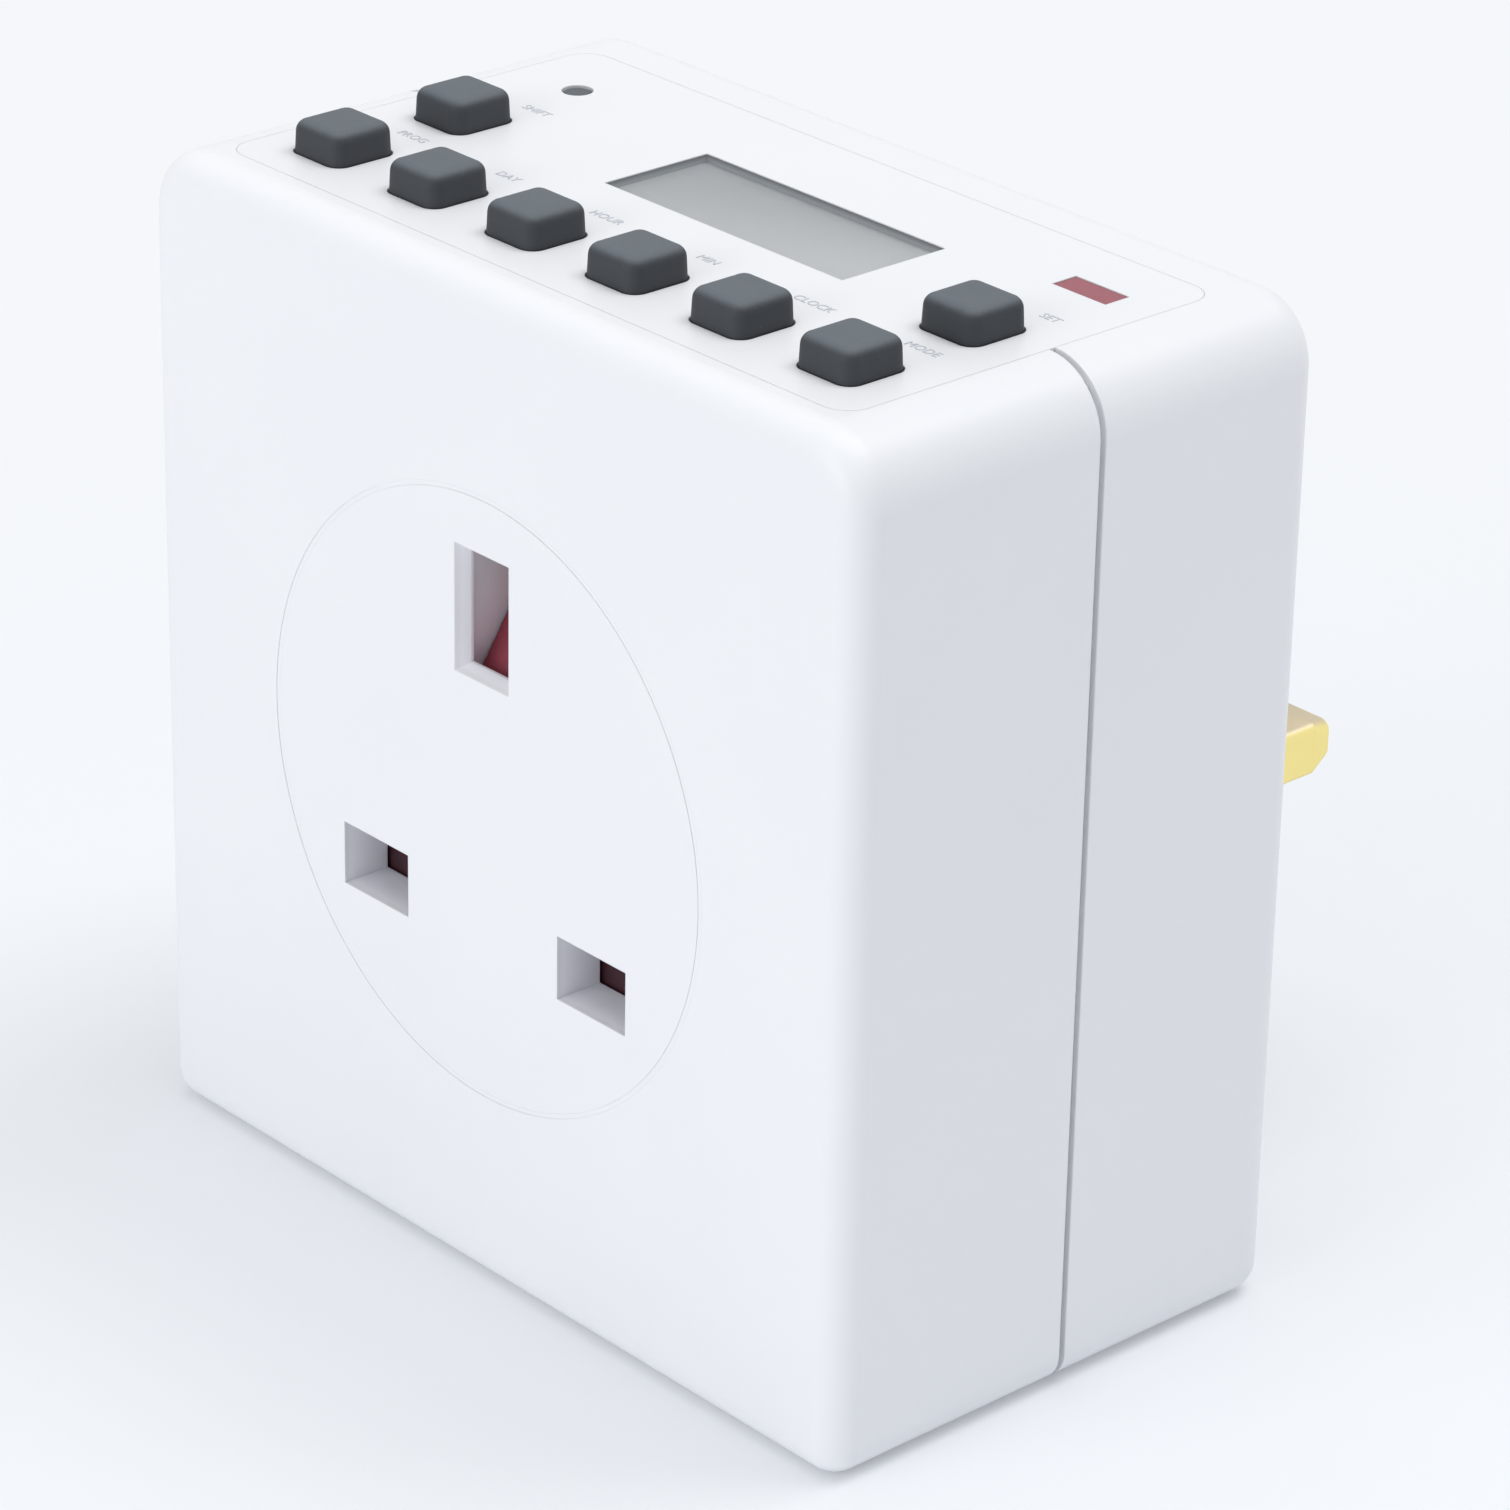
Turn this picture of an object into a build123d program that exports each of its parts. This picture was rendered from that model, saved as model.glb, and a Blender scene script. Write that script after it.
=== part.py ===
from build123d import *
import math
import os

# Plug-in time switch: a two-shell case with a socket on the front, plug pins on the back
# and a panel with keys and a display let into the top.
# X runs to the right as seen from the socket side, Y from the socket face to the pins, Z up.
# The origin is on the standing surface, below the middle of the overall box. Sizes are in mm.
# A depth is measured back from the socket face and a z is measured up from the base.

# case
case_width = 70.6
case_height = 72.2
case_depth = 40.0
wall = 2.0
top_corner_r = 4.7
case_edge_r = 2.2
bottom_corner_r = case_edge_r + 0.2
cavity_corner_r = 1.5
seam_depth = 20.4
seam_groove = 0.5
tongue_thickness = 0.9
tongue_length = 2.0
fit_gap = 0.1
slide_gap = 0.2

# plug pins and socket, to one pattern of three rectangular blades
blade_pitch = 22.23
power_blade_width = 6.35
power_blade_height = 4.0
power_blade_length = 17.7
earth_blade_width = 4.0
earth_blade_height = 8.0
earth_blade_length = 22.7
blade_edge_r = 0.5
blade_tip_length = 2.4
blade_tip_inset = 0.5
blade_tip_edge_r = 1.25
blade_tip_r = 1.1
sleeve_length = 9.0
sleeve_thickness = 0.8

# socket face
earth_rise = 13.1
mark_r = 21.6
mark_width = 0.35
mark_depth = 0.03
power_slot_width = 6.8
power_slot_height = 4.6
earth_slot_width = 4.7
earth_slot_height = 8.3
earth_lead_in = 0.4
earth_lead_depth = 1.1
socket_wall = 3.7
earth_wall = 1.35

# shutter and its spring
shutter_thickness = 2.6
shutter_lap = 0.7
shutter_stem_width = 12.0
ramp_width = 5.8
ramp_inset = 0.9
ramp_foot_drop = 1.25
ramp_block_height = 3.0
ramp_clear = 0.8
guide_thickness = 1.2
pad_margin = 1.0
spring_length = 12.4
spring_r = 0.94
spring_wire_r = 0.16
spring_turns = 6
spring_peg_r = 0.5
spring_peg_height = 1.6
spring_shelf_thickness = 1.6
spring_shelf_width = 8.0

# socket contacts and their carrier
strip_thickness = 0.8
strip_width = 5.0
contact_width = 6.0
contact_nip = 0.4
contact_lip = 1.4
contact_flare = 0.7
contact_run = 2.5
carrier_end_wall = 1.8
carrier_side_wall = 1.5
ear_width = 7.0
ear_height = 7.0
ear_thickness = 3.0
ear_post_r = 3.0
line_tail_length = 3.5

# plug boss on the back
boss_height = 9.6
boss_wall = 2.2
boss_face_wall = 3.0
boss_margin = 9.5
boss_top_margin = 6.5
boss_top_width = 26.0
boss_corner_r = 6.0
boss_edge_r = 1.2
pin_drop = 1.5
pin_head_lap = 1.5
pin_head_thickness = 2.0
pin_tail_inset = 0.6
retainer_thickness = 2.8
retainer_screw_x = 16.0
retainer_screw_rise = 13.2

# control panel and keys
panel_side_margin = 4.8
panel_front_margin = 3.1
panel_rear_margin = 5.0
panel_corner_r = 2.0
panel_gap = 0.02
panel_lip = 0.8
panel_rim = 1.2
panel_rim_thickness = 1.0
ledge_thickness = 1.6
ledge_length = 8.0
ledge_bearing = 0.6
key_size = 5.12
key_gap = 0.12
key_height = 2.25
key_corner_r = 1.0
key_top_r = 0.85
key_taper = 0.08
key_side_margin = 5.6
key_front_margin = 5.6
key_columns = 6
key_flange = 6.8
key_flange_thickness = 0.9
key_stem = 4.0
key_travel = 0.9
mat_thickness = 0.8

# display, indicator and reset
view_left_margin = 21.1
view_right_margin = 16.8
view_front_margin = 15.2
view_back_margin = 7.7
view_recess = 0.5
window_drop = 0.05
lcd_lap = 1.2
lcd_thickness = 1.7
lcd_frame_wall = 1.0
zebra_width = 1.5
led_view_width = 4.7
led_view_length = 2.05
led_from_rear = 5.7
led_recess = 0.05
led_flange = 0.8
led_base_height = 1.0
led_base_step = 0.3
reset_shift = 0.4
reset_hole_d = 2.2
reset_from_rear = 6.2
reset_body = 4.5
reset_body_height = 3.0
reset_plunger_d = 1.96
reset_sink = 0.1
reset_travel = 0.4

# boards
board_thickness = 1.6
board_drop = 4.2
board_inset = 1.5
board_standoff = 2.5
board_rest = 5.0
board_edge_gap = 2.0
post_d = 3.2
post_from_rear = 4.0
power_screw_from_rear = 3.0
power_screw_from_side = 3.5
small_edge_r = 0.4
component_gap = 1.0
power_board_front = 10.5
chip_size = 10.0
chip_thickness = 1.5
crystal_length = 7.0
crystal_width = 2.6
crystal_height = 2.2
crystal_corner_r = 1.0
battery_d = 11.5
battery_thickness = 2.6
battery_edge_r = 0.6
relay_from_back = 8.8
relay_headroom = 3.6
dropper_length = 10.5
dropper_width = 6.0
dropper_from_edge = 6.0
smoothing_d = 8.0
capacitor_headroom = 5.4
diode_length = 4.6
diode_width = 2.6
diode_height = 2.2
diode_pitch = 3.2
resistor_d = 3.0
resistor_length = 6.0
resistor_wire_d = 0.7
resistor_lift = 0.8
lead_d = 2.2
thin_lead_d = 1.6
line_in_run = 2.6
line_in_side = 5.4
line_in_drop = 6.0
link_socket_length = 6.4
link_socket_width = 4.0
link_socket_height = 4.5
link_wire_d = 1.0
link_wire_pitch = 0.9
link_wires = 5
link_swing = 2.5
link_from_back = 5.5

# screws
case_screw_d = 2.9
case_screw_length = 16.0
case_screw_recess = 12.0
case_screw_inset = 3.2
case_screw_low = 4.6
case_screw_high = 15.2
front_boss_r = 3.5
rear_boss_r = 4.1
small_screw_d = 2.1
small_screw_length = 6.0
small_post_r = 2.6
screw_hole_extra = 0.5
board_screw_d = 1.7
board_screw_length = 4.6
head_scale = 1.9
head_height_scale = 0.7

# places along the depth
front_y = -(case_depth + boss_height + earth_blade_length) / 2
front_rim_depth = seam_depth - seam_groove / 2
rear_rim_depth = seam_depth + seam_groove / 2
inner_back_depth = case_depth - wall
shutter_front = socket_wall + slide_gap
shutter_back = shutter_front + shutter_thickness
carrier_front = shutter_back + slide_gap
power_contact_back = power_blade_length + contact_run
earth_contact_back = earth_blade_length + contact_run
carrier_back = earth_contact_back + carrier_end_wall
plug_face_depth = case_depth + boss_height
plug_inner_depth = plug_face_depth - boss_face_wall
pin_head_depth = plug_inner_depth - pin_head_thickness
retainer_front = pin_head_depth - retainer_thickness
panel_front = panel_front_margin
panel_back = case_depth - panel_rear_margin
key_depth = panel_front + key_front_margin
led_depth = panel_back - led_from_rear
rear_key_depth = (key_depth + led_depth) / 2
reset_depth = panel_back - reset_from_rear
power_board_back = inner_back_depth - board_inset
link_depth = power_board_back - link_from_back
post_front_depth = key_depth + key_flange / 2 + post_d / 2 + fit_gap
post_back_depth = panel_back - post_from_rear
chip_row_depth = (post_front_depth + post_back_depth) / 2

# places along the width and the height
cavity_half = case_width / 2 - wall
blade_x = blade_pitch / 2
earth_z = case_height / 2 + earth_rise
power_z = earth_z - blade_pitch
plug_earth_z = earth_z - pin_drop
plug_power_z = power_z - pin_drop
panel_width = case_width - 2 * panel_side_margin
panel_length = panel_back - panel_front
panel_mid = (panel_front + panel_back) / 2
view_width = panel_width - view_left_margin - view_right_margin
view_length = panel_length - view_front_margin - view_back_margin
view_x = (view_left_margin - view_right_margin) / 2
view_depth = (panel_front + view_front_margin + panel_back - view_back_margin) / 2
panel_bottom = case_height - wall
rim_bottom = panel_bottom - panel_rim_thickness
board_top = panel_bottom - board_drop
board_bottom = board_top - board_thickness
key_end_x = panel_width / 2 - key_side_margin
key_pitch = 2 * key_end_x / (key_columns - 1)
reset_x = reset_shift - key_end_x
power_board_bottom = wall + board_standoff
power_board_top = power_board_bottom + board_thickness
screw_x = cavity_half - case_screw_inset
power_board_half = screw_x - rear_boss_r - board_edge_gap
shutter_travel = power_slot_height + 2 * shutter_lap
wing_half = blade_x + power_slot_width / 2 + shutter_lap
wing_bottom = power_z - power_slot_height / 2 - shutter_lap
wing_top = power_z + power_slot_height / 2 + shutter_lap
ramp_foot_z = earth_z - earth_slot_height / 2 - ramp_foot_drop
ramp_rise = shutter_travel + earth_slot_height / 2 + ramp_foot_drop - earth_blade_height / 2 - ramp_clear
ramp_block_bottom = ramp_foot_z - ramp_block_height
spring_seat_z = wing_bottom - spring_length
spring_depth = (shutter_front + shutter_back) / 2
carrier_half = wing_half + carrier_side_wall
carrier_bottom = wing_bottom - carrier_side_wall
carrier_top = earth_z + earth_slot_height / 2 + carrier_side_wall
ear_z = (carrier_bottom + carrier_top) / 2
ear_x = carrier_half + ear_width / 2
plug_boss_half = blade_x + power_blade_width / 2 + boss_margin
plug_boss_bottom = plug_power_z - power_blade_height / 2 - boss_margin
plug_boss_shoulder = plug_power_z + boss_margin
plug_boss_top = plug_earth_z + earth_blade_height / 2 + boss_top_margin
retainer_screw_z = plug_power_z + retainer_screw_rise
lcd_width = view_width + 2 * lcd_lap
lcd_length = view_length + 2 * lcd_lap
lcd_top = case_height - view_recess - fit_gap
lcd_bottom = lcd_top - lcd_thickness
lcd_frame_width = lcd_width + 2 * (fit_gap + lcd_frame_wall)
lcd_frame_length = lcd_length + 2 * (fit_gap + lcd_frame_wall)
post_reach = lcd_frame_width / 2 + post_d / 2 + slide_gap
relay_left = -power_board_half + board_inset
relay_right = power_board_half - dropper_from_edge - dropper_length - component_gap
relay_front = power_board_front + board_inset
relay_back = power_board_back - relay_from_back
relay_top = carrier_bottom - relay_headroom
capacitor_top = carrier_bottom - capacitor_headroom
link_x = -power_board_half + link_socket_width / 2 + slide_gap

case_screw_points = [
    (side * screw_x, z)
    for side in (-1, 1)
    for z in (wall + case_screw_low, case_height - case_screw_high)
]
ear_points = [(side * ear_x, ear_z) for side in (-1, 1)]
retainer_screw_points = [(side * retainer_screw_x, retainer_screw_z) for side in (-1, 1)]
control_screw_points = [
    (view_x + side * post_reach, depth)
    for side in (-1, 1)
    for depth in (post_front_depth, post_back_depth)
]
small_head_r = small_screw_d * head_scale / 2
power_screw_points = [
    (link_x + link_socket_width / 2 + small_head_r + 2 * slide_gap, power_board_back - power_screw_from_rear),
    (power_board_half - power_screw_from_side, power_board_back - 2 * power_screw_from_rear),
]
board_rest_points = [
    (side * (power_board_half - board_rest), power_board_front + board_rest / 2) for side in (-1, 1)
]
case_screw_reach = case_screw_length + case_screw_recess - case_depth + seam_depth
key_places = {}
for column in range(key_columns):
    key_places[f"key_front_{column + 1}"] = (-key_end_x + column * key_pitch, key_depth)
key_places["key_rear_left"] = (-key_end_x, rear_key_depth)
key_places["key_rear_right"] = (key_end_x, rear_key_depth)


def front_view(depth):
    """Plane seen from the front: sketch x is X, sketch y is Z, a negative extrusion goes back."""
    return Plane(origin=(0, front_y + depth, 0), x_dir=(1, 0, 0), z_dir=(0, -1, 0))


def top_view(z):
    """Plane seen from above at a height: sketch x is X, sketch y is the depth."""
    return Plane(origin=(0, front_y, z), x_dir=(1, 0, 0), z_dir=(0, 0, 1))


def side_view(x, z=0):
    """Plane seen from the right: sketch x is the depth, sketch y is up, an extrusion goes right."""
    return Plane(origin=(x, front_y, z), x_dir=(0, 1, 0), z_dir=(1, 0, 0))


def facing_back(x, depth, z):
    """Plane at a point, seen from the back: an extrusion goes towards the pins."""
    return Plane(origin=(x, front_y + depth, z), x_dir=(1, 0, 0), z_dir=(0, 1, 0))


def facing_down(x, depth, z):
    """Plane at a point, seen from below: an extrusion goes down."""
    return Plane(origin=(x, front_y + depth, z), x_dir=(1, 0, 0), z_dir=(0, 0, -1))


def facing_front(x, depth, z):
    """Plane at a point, seen from the front: an extrusion goes towards the socket face."""
    return Plane(origin=(x, front_y + depth, z), x_dir=(1, 0, 0), z_dir=(0, -1, 0))


# outlines shared by several pieces
with BuildSketch() as case_outline:
    with Locations((0, case_height / 2)):
        Rectangle(case_width, case_height)
    fillet(case_outline.vertices().group_by(Axis.Y)[-1], top_corner_r)
    fillet(case_outline.vertices().group_by(Axis.Y)[0], bottom_corner_r)

with BuildSketch() as cavity_outline:
    with Locations((0, case_height / 2)):
        RectangleRounded(case_width - 2 * wall, case_height - 2 * wall, cavity_corner_r)

with BuildSketch() as plug_boss_outline:
    with BuildLine():
        Polyline(
            (-plug_boss_half, plug_boss_bottom),
            (plug_boss_half, plug_boss_bottom),
            (plug_boss_half, plug_boss_shoulder),
            (boss_top_width / 2, plug_boss_top),
            (-boss_top_width / 2, plug_boss_top),
            (-plug_boss_half, plug_boss_shoulder),
            close=True,
        )
    make_face()
    fillet(plug_boss_outline.vertices(), boss_corner_r)


def tongue_sketch(reach):
    """Ring round the cavity, as wide as the reach."""
    with BuildSketch() as ring:
        with Locations((0, case_height / 2)):
            RectangleRounded(
                case_width - 2 * (wall - reach), case_height - 2 * (wall - reach), cavity_corner_r + reach
            )
        add(cavity_outline.sketch, mode=Mode.SUBTRACT)
    return ring.sketch


def panel_sketch(grow):
    """Outline of the control panel in the top view, grown all round."""
    with BuildSketch() as outline:
        with Locations((0, panel_mid)):
            RectangleRounded(panel_width + 2 * grow, panel_length + 2 * grow, panel_corner_r + grow)
    return outline.sketch


def blades_sketch(power_height_z, earth_height_z, grow):
    """The three blade sections in the front view, grown all round."""
    with BuildSketch() as blades:
        with Locations((-blade_x, power_height_z), (blade_x, power_height_z)):
            Rectangle(power_blade_width + 2 * grow, power_blade_height + 2 * grow)
        with Locations((0, earth_height_z)):
            Rectangle(earth_blade_width + 2 * grow, earth_blade_height + 2 * grow)
    return blades.sketch


ledge_sketch_half = (cavity_half - panel_width / 2 - panel_lip + ledge_bearing) / 2
with BuildSketch() as ledge_outline:
    for side in (-1, 1):
        with Locations((side * (cavity_half - ledge_sketch_half), rim_bottom - ledge_thickness / 2)):
            Rectangle(2 * ledge_sketch_half, ledge_thickness)

# front half of the case
with BuildPart() as front_cover:
    with BuildSketch(front_view(0)):
        add(case_outline.sketch)
    extrude(amount=-front_rim_depth)
    fillet(front_cover.faces().sort_by(Axis.Y)[0].edges(), case_edge_r)
    with BuildSketch(front_view(wall)):
        add(cavity_outline.sketch)
    extrude(amount=wall - front_rim_depth, mode=Mode.SUBTRACT)
    with BuildSketch(front_view(front_rim_depth)):
        add(tongue_sketch(tongue_thickness))
    extrude(amount=-tongue_length)
    # thicker wall behind the apertures
    pad_bottom = wing_bottom - shutter_travel - pad_margin
    pad_top = earth_z + earth_slot_height / 2 + pad_margin
    guide_outer = wing_half + slide_gap + guide_thickness
    pad_half = guide_outer + pad_margin
    with BuildSketch(front_view(wall)):
        with Locations((0, (pad_bottom + pad_top) / 2)):
            Rectangle(2 * pad_half, pad_top - pad_bottom)
    extrude(amount=wall - socket_wall)
    # guides beside the shutter and the stops above its wings
    guide_bottom = pad_bottom + pad_margin / 2
    stop_bottom = wing_top + slide_gap
    stop_top = stop_bottom + guide_thickness
    stop_start = shutter_stem_width / 2 + pad_margin
    with BuildSketch(front_view(socket_wall)):
        for side in (-1, 1):
            with Locations((side * (guide_outer - guide_thickness / 2), (guide_bottom + stop_top) / 2)):
                Rectangle(guide_thickness, stop_top - guide_bottom)
            with Locations((side * (stop_start + guide_outer) / 2, (stop_bottom + stop_top) / 2)):
                Rectangle(guide_outer - stop_start, stop_top - stop_bottom)
    extrude(amount=socket_wall - shutter_back)
    # ribs that carry the side walls of the ramp's pocket back to the contact carrier
    rib_x = ramp_width / 2 + slide_gap + guide_thickness / 2
    rib_bottom = ramp_foot_z + slide_gap
    with BuildSketch(front_view(socket_wall)):
        with Locations((-rib_x, (rib_bottom + pad_top) / 2), (rib_x, (rib_bottom + pad_top) / 2)):
            Rectangle(guide_thickness, pad_top - rib_bottom)
    extrude(amount=socket_wall - shutter_back)
    # screw bosses and the posts of the contact carrier
    with BuildSketch(front_view(wall)):
        with Locations(*case_screw_points):
            Circle(front_boss_r)
        add(cavity_outline.sketch, mode=Mode.INTERSECT)
    extrude(amount=wall - seam_depth)
    with BuildSketch(front_view(wall)):
        with Locations(*ear_points):
            Circle(ear_post_r)
    extrude(amount=wall - carrier_front)
    # shelf and peg for the shutter spring
    with BuildSketch(front_view(wall)):
        with Locations((0, spring_seat_z - spring_shelf_thickness / 2)):
            Rectangle(spring_shelf_width, spring_shelf_thickness)
    extrude(amount=wall - carrier_front)
    with BuildSketch(top_view(spring_seat_z)):
        with Locations((0, spring_depth)):
            Circle(spring_peg_r)
    extrude(amount=spring_peg_height)
    # rests for the front edge of the power board and ledges below the panel
    with BuildSketch(top_view(wall)):
        with Locations(*board_rest_points):
            Rectangle(board_rest, board_rest)
    extrude(amount=board_standoff)
    with BuildSketch(front_view(seam_depth / 2 - ledge_length / 2)):
        add(ledge_outline.sketch)
    extrude(amount=-ledge_length)
    # pocket for the ramp of the shutter, then the three apertures
    pocket_bottom = ramp_block_bottom - shutter_travel - slide_gap
    pocket_top = earth_z + earth_slot_height / 2 + 2 * slide_gap
    with BuildSketch(front_view(earth_wall)):
        with Locations((0, (pocket_bottom + pocket_top) / 2)):
            Rectangle(ramp_width + 2 * slide_gap, pocket_top - pocket_bottom)
    extrude(amount=earth_wall - socket_wall, mode=Mode.SUBTRACT)
    with BuildSketch(front_view(0)):
        with Locations((-blade_x, power_z), (blade_x, power_z)):
            Rectangle(power_slot_width, power_slot_height)
        with Locations((0, earth_z)):
            Rectangle(earth_slot_width, earth_slot_height)
    extrude(amount=-socket_wall, mode=Mode.SUBTRACT)
    # sloping lead-in of the earth aperture
    with BuildSketch(front_view(0)):
        with Locations((0, earth_z)):
            Rectangle(earth_slot_width + 2 * earth_lead_in, earth_slot_height + 2 * earth_lead_in)
    with BuildSketch(front_view(earth_lead_depth)):
        with Locations((0, earth_z)):
            Rectangle(earth_slot_width, earth_slot_height)
    loft(ruled=True, mode=Mode.SUBTRACT)
    # fine circle round the apertures
    with BuildSketch(front_view(0)):
        with Locations((0, case_height / 2)):
            Circle(mark_r + mark_width / 2)
            Circle(mark_r - mark_width / 2, mode=Mode.SUBTRACT)
    extrude(amount=-mark_depth, mode=Mode.SUBTRACT)
    # screw holes
    with BuildSketch(front_view(seam_depth)):
        with Locations(*case_screw_points):
            Circle(case_screw_d / 2 + fit_gap / 2)
    extrude(amount=case_screw_reach + screw_hole_extra, mode=Mode.SUBTRACT)
    with BuildSketch(front_view(carrier_front)):
        with Locations(*ear_points):
            Circle(small_screw_d / 2 + fit_gap / 2)
    extrude(amount=small_screw_length - ear_thickness + screw_hole_extra, mode=Mode.SUBTRACT)
    # opening for the panel
    with BuildSketch(top_view(panel_bottom)):
        add(panel_sketch(panel_gap))
    extrude(amount=2 * wall, mode=Mode.SUBTRACT)

# rear half of the case with the plug boss
with BuildPart() as rear_cover:
    with BuildSketch(front_view(rear_rim_depth)):
        add(case_outline.sketch)
    extrude(amount=rear_rim_depth - case_depth)
    fillet(rear_cover.faces().sort_by(Axis.Y)[-1].edges(), case_edge_r)
    with BuildSketch(front_view(inner_back_depth)):
        add(plug_boss_outline.sketch)
    extrude(amount=inner_back_depth - plug_face_depth)
    fillet(rear_cover.faces().sort_by(Axis.Y)[-1].edges(), boss_edge_r)
    with BuildSketch(front_view(rear_rim_depth)):
        add(cavity_outline.sketch)
    extrude(amount=rear_rim_depth - inner_back_depth, mode=Mode.SUBTRACT)
    with BuildSketch(front_view(rear_rim_depth)):
        add(tongue_sketch(tongue_thickness + fit_gap))
    extrude(amount=seam_groove - tongue_length - slide_gap, mode=Mode.SUBTRACT)
    with BuildSketch(front_view(inner_back_depth)):
        offset(plug_boss_outline.sketch, amount=-boss_wall)
    extrude(amount=inner_back_depth - plug_inner_depth, mode=Mode.SUBTRACT)
    # posts behind the pin retainer and the holes for the pins
    with BuildSketch(front_view(pin_head_depth)):
        with Locations(*retainer_screw_points):
            Circle(small_post_r)
    extrude(amount=-pin_head_thickness)
    with BuildSketch(front_view(pin_head_depth)):
        with Locations(*retainer_screw_points):
            Circle(small_screw_d / 2 + fit_gap / 2)
    extrude(amount=retainer_thickness - small_screw_length - screw_hole_extra, mode=Mode.SUBTRACT)
    with BuildSketch(front_view(plug_inner_depth)):
        add(blades_sketch(plug_power_z, plug_earth_z, fit_gap))
    extrude(amount=-boss_face_wall, mode=Mode.SUBTRACT)
    # screw tubes, board posts and ledges below the panel
    with BuildSketch(front_view(seam_depth)):
        with Locations(*case_screw_points):
            Circle(rear_boss_r)
        add(cavity_outline.sketch, mode=Mode.INTERSECT)
    extrude(amount=seam_depth - inner_back_depth)
    with BuildSketch(top_view(wall)):
        with Locations(*power_screw_points):
            Circle(small_post_r)
    extrude(amount=board_standoff)
    with BuildSketch(front_view((seam_depth + case_depth) / 2 - ledge_length / 2)):
        add(ledge_outline.sketch)
    extrude(amount=-ledge_length)
    with BuildSketch(front_view(seam_depth)):
        with Locations(*case_screw_points):
            Circle(case_screw_d / 2 + slide_gap)
    extrude(amount=seam_depth - case_depth, mode=Mode.SUBTRACT)
    with BuildSketch(front_view(case_depth - case_screw_recess)):
        with Locations(*case_screw_points):
            Circle(case_screw_d * head_scale / 2 + slide_gap)
    extrude(amount=-case_screw_recess, mode=Mode.SUBTRACT)
    with BuildSketch(top_view(power_board_bottom)):
        with Locations(*power_screw_points):
            Circle(small_screw_d / 2 + fit_gap / 2)
    extrude(amount=-board_standoff - wall / 2, mode=Mode.SUBTRACT)
    with BuildSketch(top_view(panel_bottom)):
        add(panel_sketch(panel_gap))
    extrude(amount=2 * wall, mode=Mode.SUBTRACT)

# control panel: flush plate, rim that is caught below the case, posts for the board
with BuildPart() as control_panel:
    with BuildSketch(top_view(panel_bottom)):
        add(panel_sketch(0))
    extrude(amount=wall)
    with BuildSketch(top_view(rim_bottom)):
        add(panel_sketch(panel_lip))
        add(panel_sketch(-panel_rim), mode=Mode.SUBTRACT)
    extrude(amount=panel_rim_thickness)
    with BuildSketch(top_view(board_top)):
        with Locations(*control_screw_points):
            Circle(post_d / 2)
    extrude(amount=board_drop)
    with BuildSketch(top_view(panel_bottom)):
        with Locations(*key_places.values()):
            RectangleRounded(key_size + 2 * key_gap, key_size + 2 * key_gap, key_corner_r + key_gap)
        with Locations((view_x, view_depth)):
            Rectangle(view_width, view_length)
        with Locations((key_end_x, led_depth)):
            Rectangle(led_view_width + fit_gap, led_view_length + fit_gap)
        with Locations((reset_x, reset_depth)):
            Circle(reset_hole_d / 2)
    extrude(amount=wall, mode=Mode.SUBTRACT)
    with BuildSketch(top_view(panel_bottom)):
        with Locations((view_x, view_depth)):
            Rectangle(lcd_width + 2 * fit_gap, lcd_length + 2 * fit_gap)
    extrude(amount=wall - view_recess, mode=Mode.SUBTRACT)
    with BuildSketch(top_view(board_top)):
        with Locations(*control_screw_points):
            Circle(board_screw_d / 2 + fit_gap / 2)
    extrude(amount=board_drop - 2 * slide_gap, mode=Mode.SUBTRACT)


def make_key(place):
    """Rubber key with its flange below the panel and the stem that meets the board."""
    with BuildPart() as key:
        flange_top = panel_bottom - fit_gap
        with BuildSketch(top_view(flange_top)):
            with Locations(place):
                RectangleRounded(key_size, key_size, key_corner_r)
        extrude(amount=case_height - flange_top)
        with BuildSketch(top_view(case_height)):
            with Locations(place):
                RectangleRounded(key_size, key_size, key_corner_r)
        with BuildSketch(top_view(case_height + key_height)):
            with Locations(place):
                RectangleRounded(key_size - 2 * key_taper, key_size - 2 * key_taper, key_corner_r)
        loft(ruled=True)
        fillet(key.faces().sort_by(Axis.Z)[-1].edges(), key_top_r)
        with BuildSketch(top_view(flange_top)):
            with Locations(place):
                RectangleRounded(key_flange, key_flange, key_corner_r)
        extrude(amount=-key_flange_thickness)
        with BuildSketch(top_view(flange_top)):
            with Locations(place):
                RectangleRounded(key_stem, key_stem, key_corner_r)
        extrude(amount=board_top + key_travel + fit_gap - flange_top)
    return key


keys = {name: make_key(place) for name, place in key_places.items()}

with BuildPart() as keypad_mat:
    with BuildSketch(top_view(board_top)):
        with Locations((0, key_depth)):
            Rectangle(2 * key_end_x + key_flange, key_flange)
        for side in (-1, 1):
            with Locations((side * key_end_x, (key_depth + rear_key_depth) / 2)):
                Rectangle(key_flange, rear_key_depth - key_depth + key_flange)
        with Locations(*key_places.values()):
            RectangleRounded(
                key_stem + 2 * slide_gap, key_stem + 2 * slide_gap, key_corner_r, mode=Mode.SUBTRACT
            )
    extrude(amount=mat_thickness)

# clear pane that fills the opening, on the glass of the display
with BuildPart() as display_window:
    with BuildSketch(top_view(lcd_top)):
        with Locations((view_x, view_depth)):
            Rectangle(view_width - fit_gap, view_length - fit_gap)
    extrude(amount=case_height - window_drop - lcd_top)

with BuildPart() as lcd_glass:
    with BuildSketch(top_view(lcd_bottom)):
        with Locations((view_x, view_depth)):
            Rectangle(lcd_width, lcd_length)
    extrude(amount=lcd_thickness)

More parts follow.
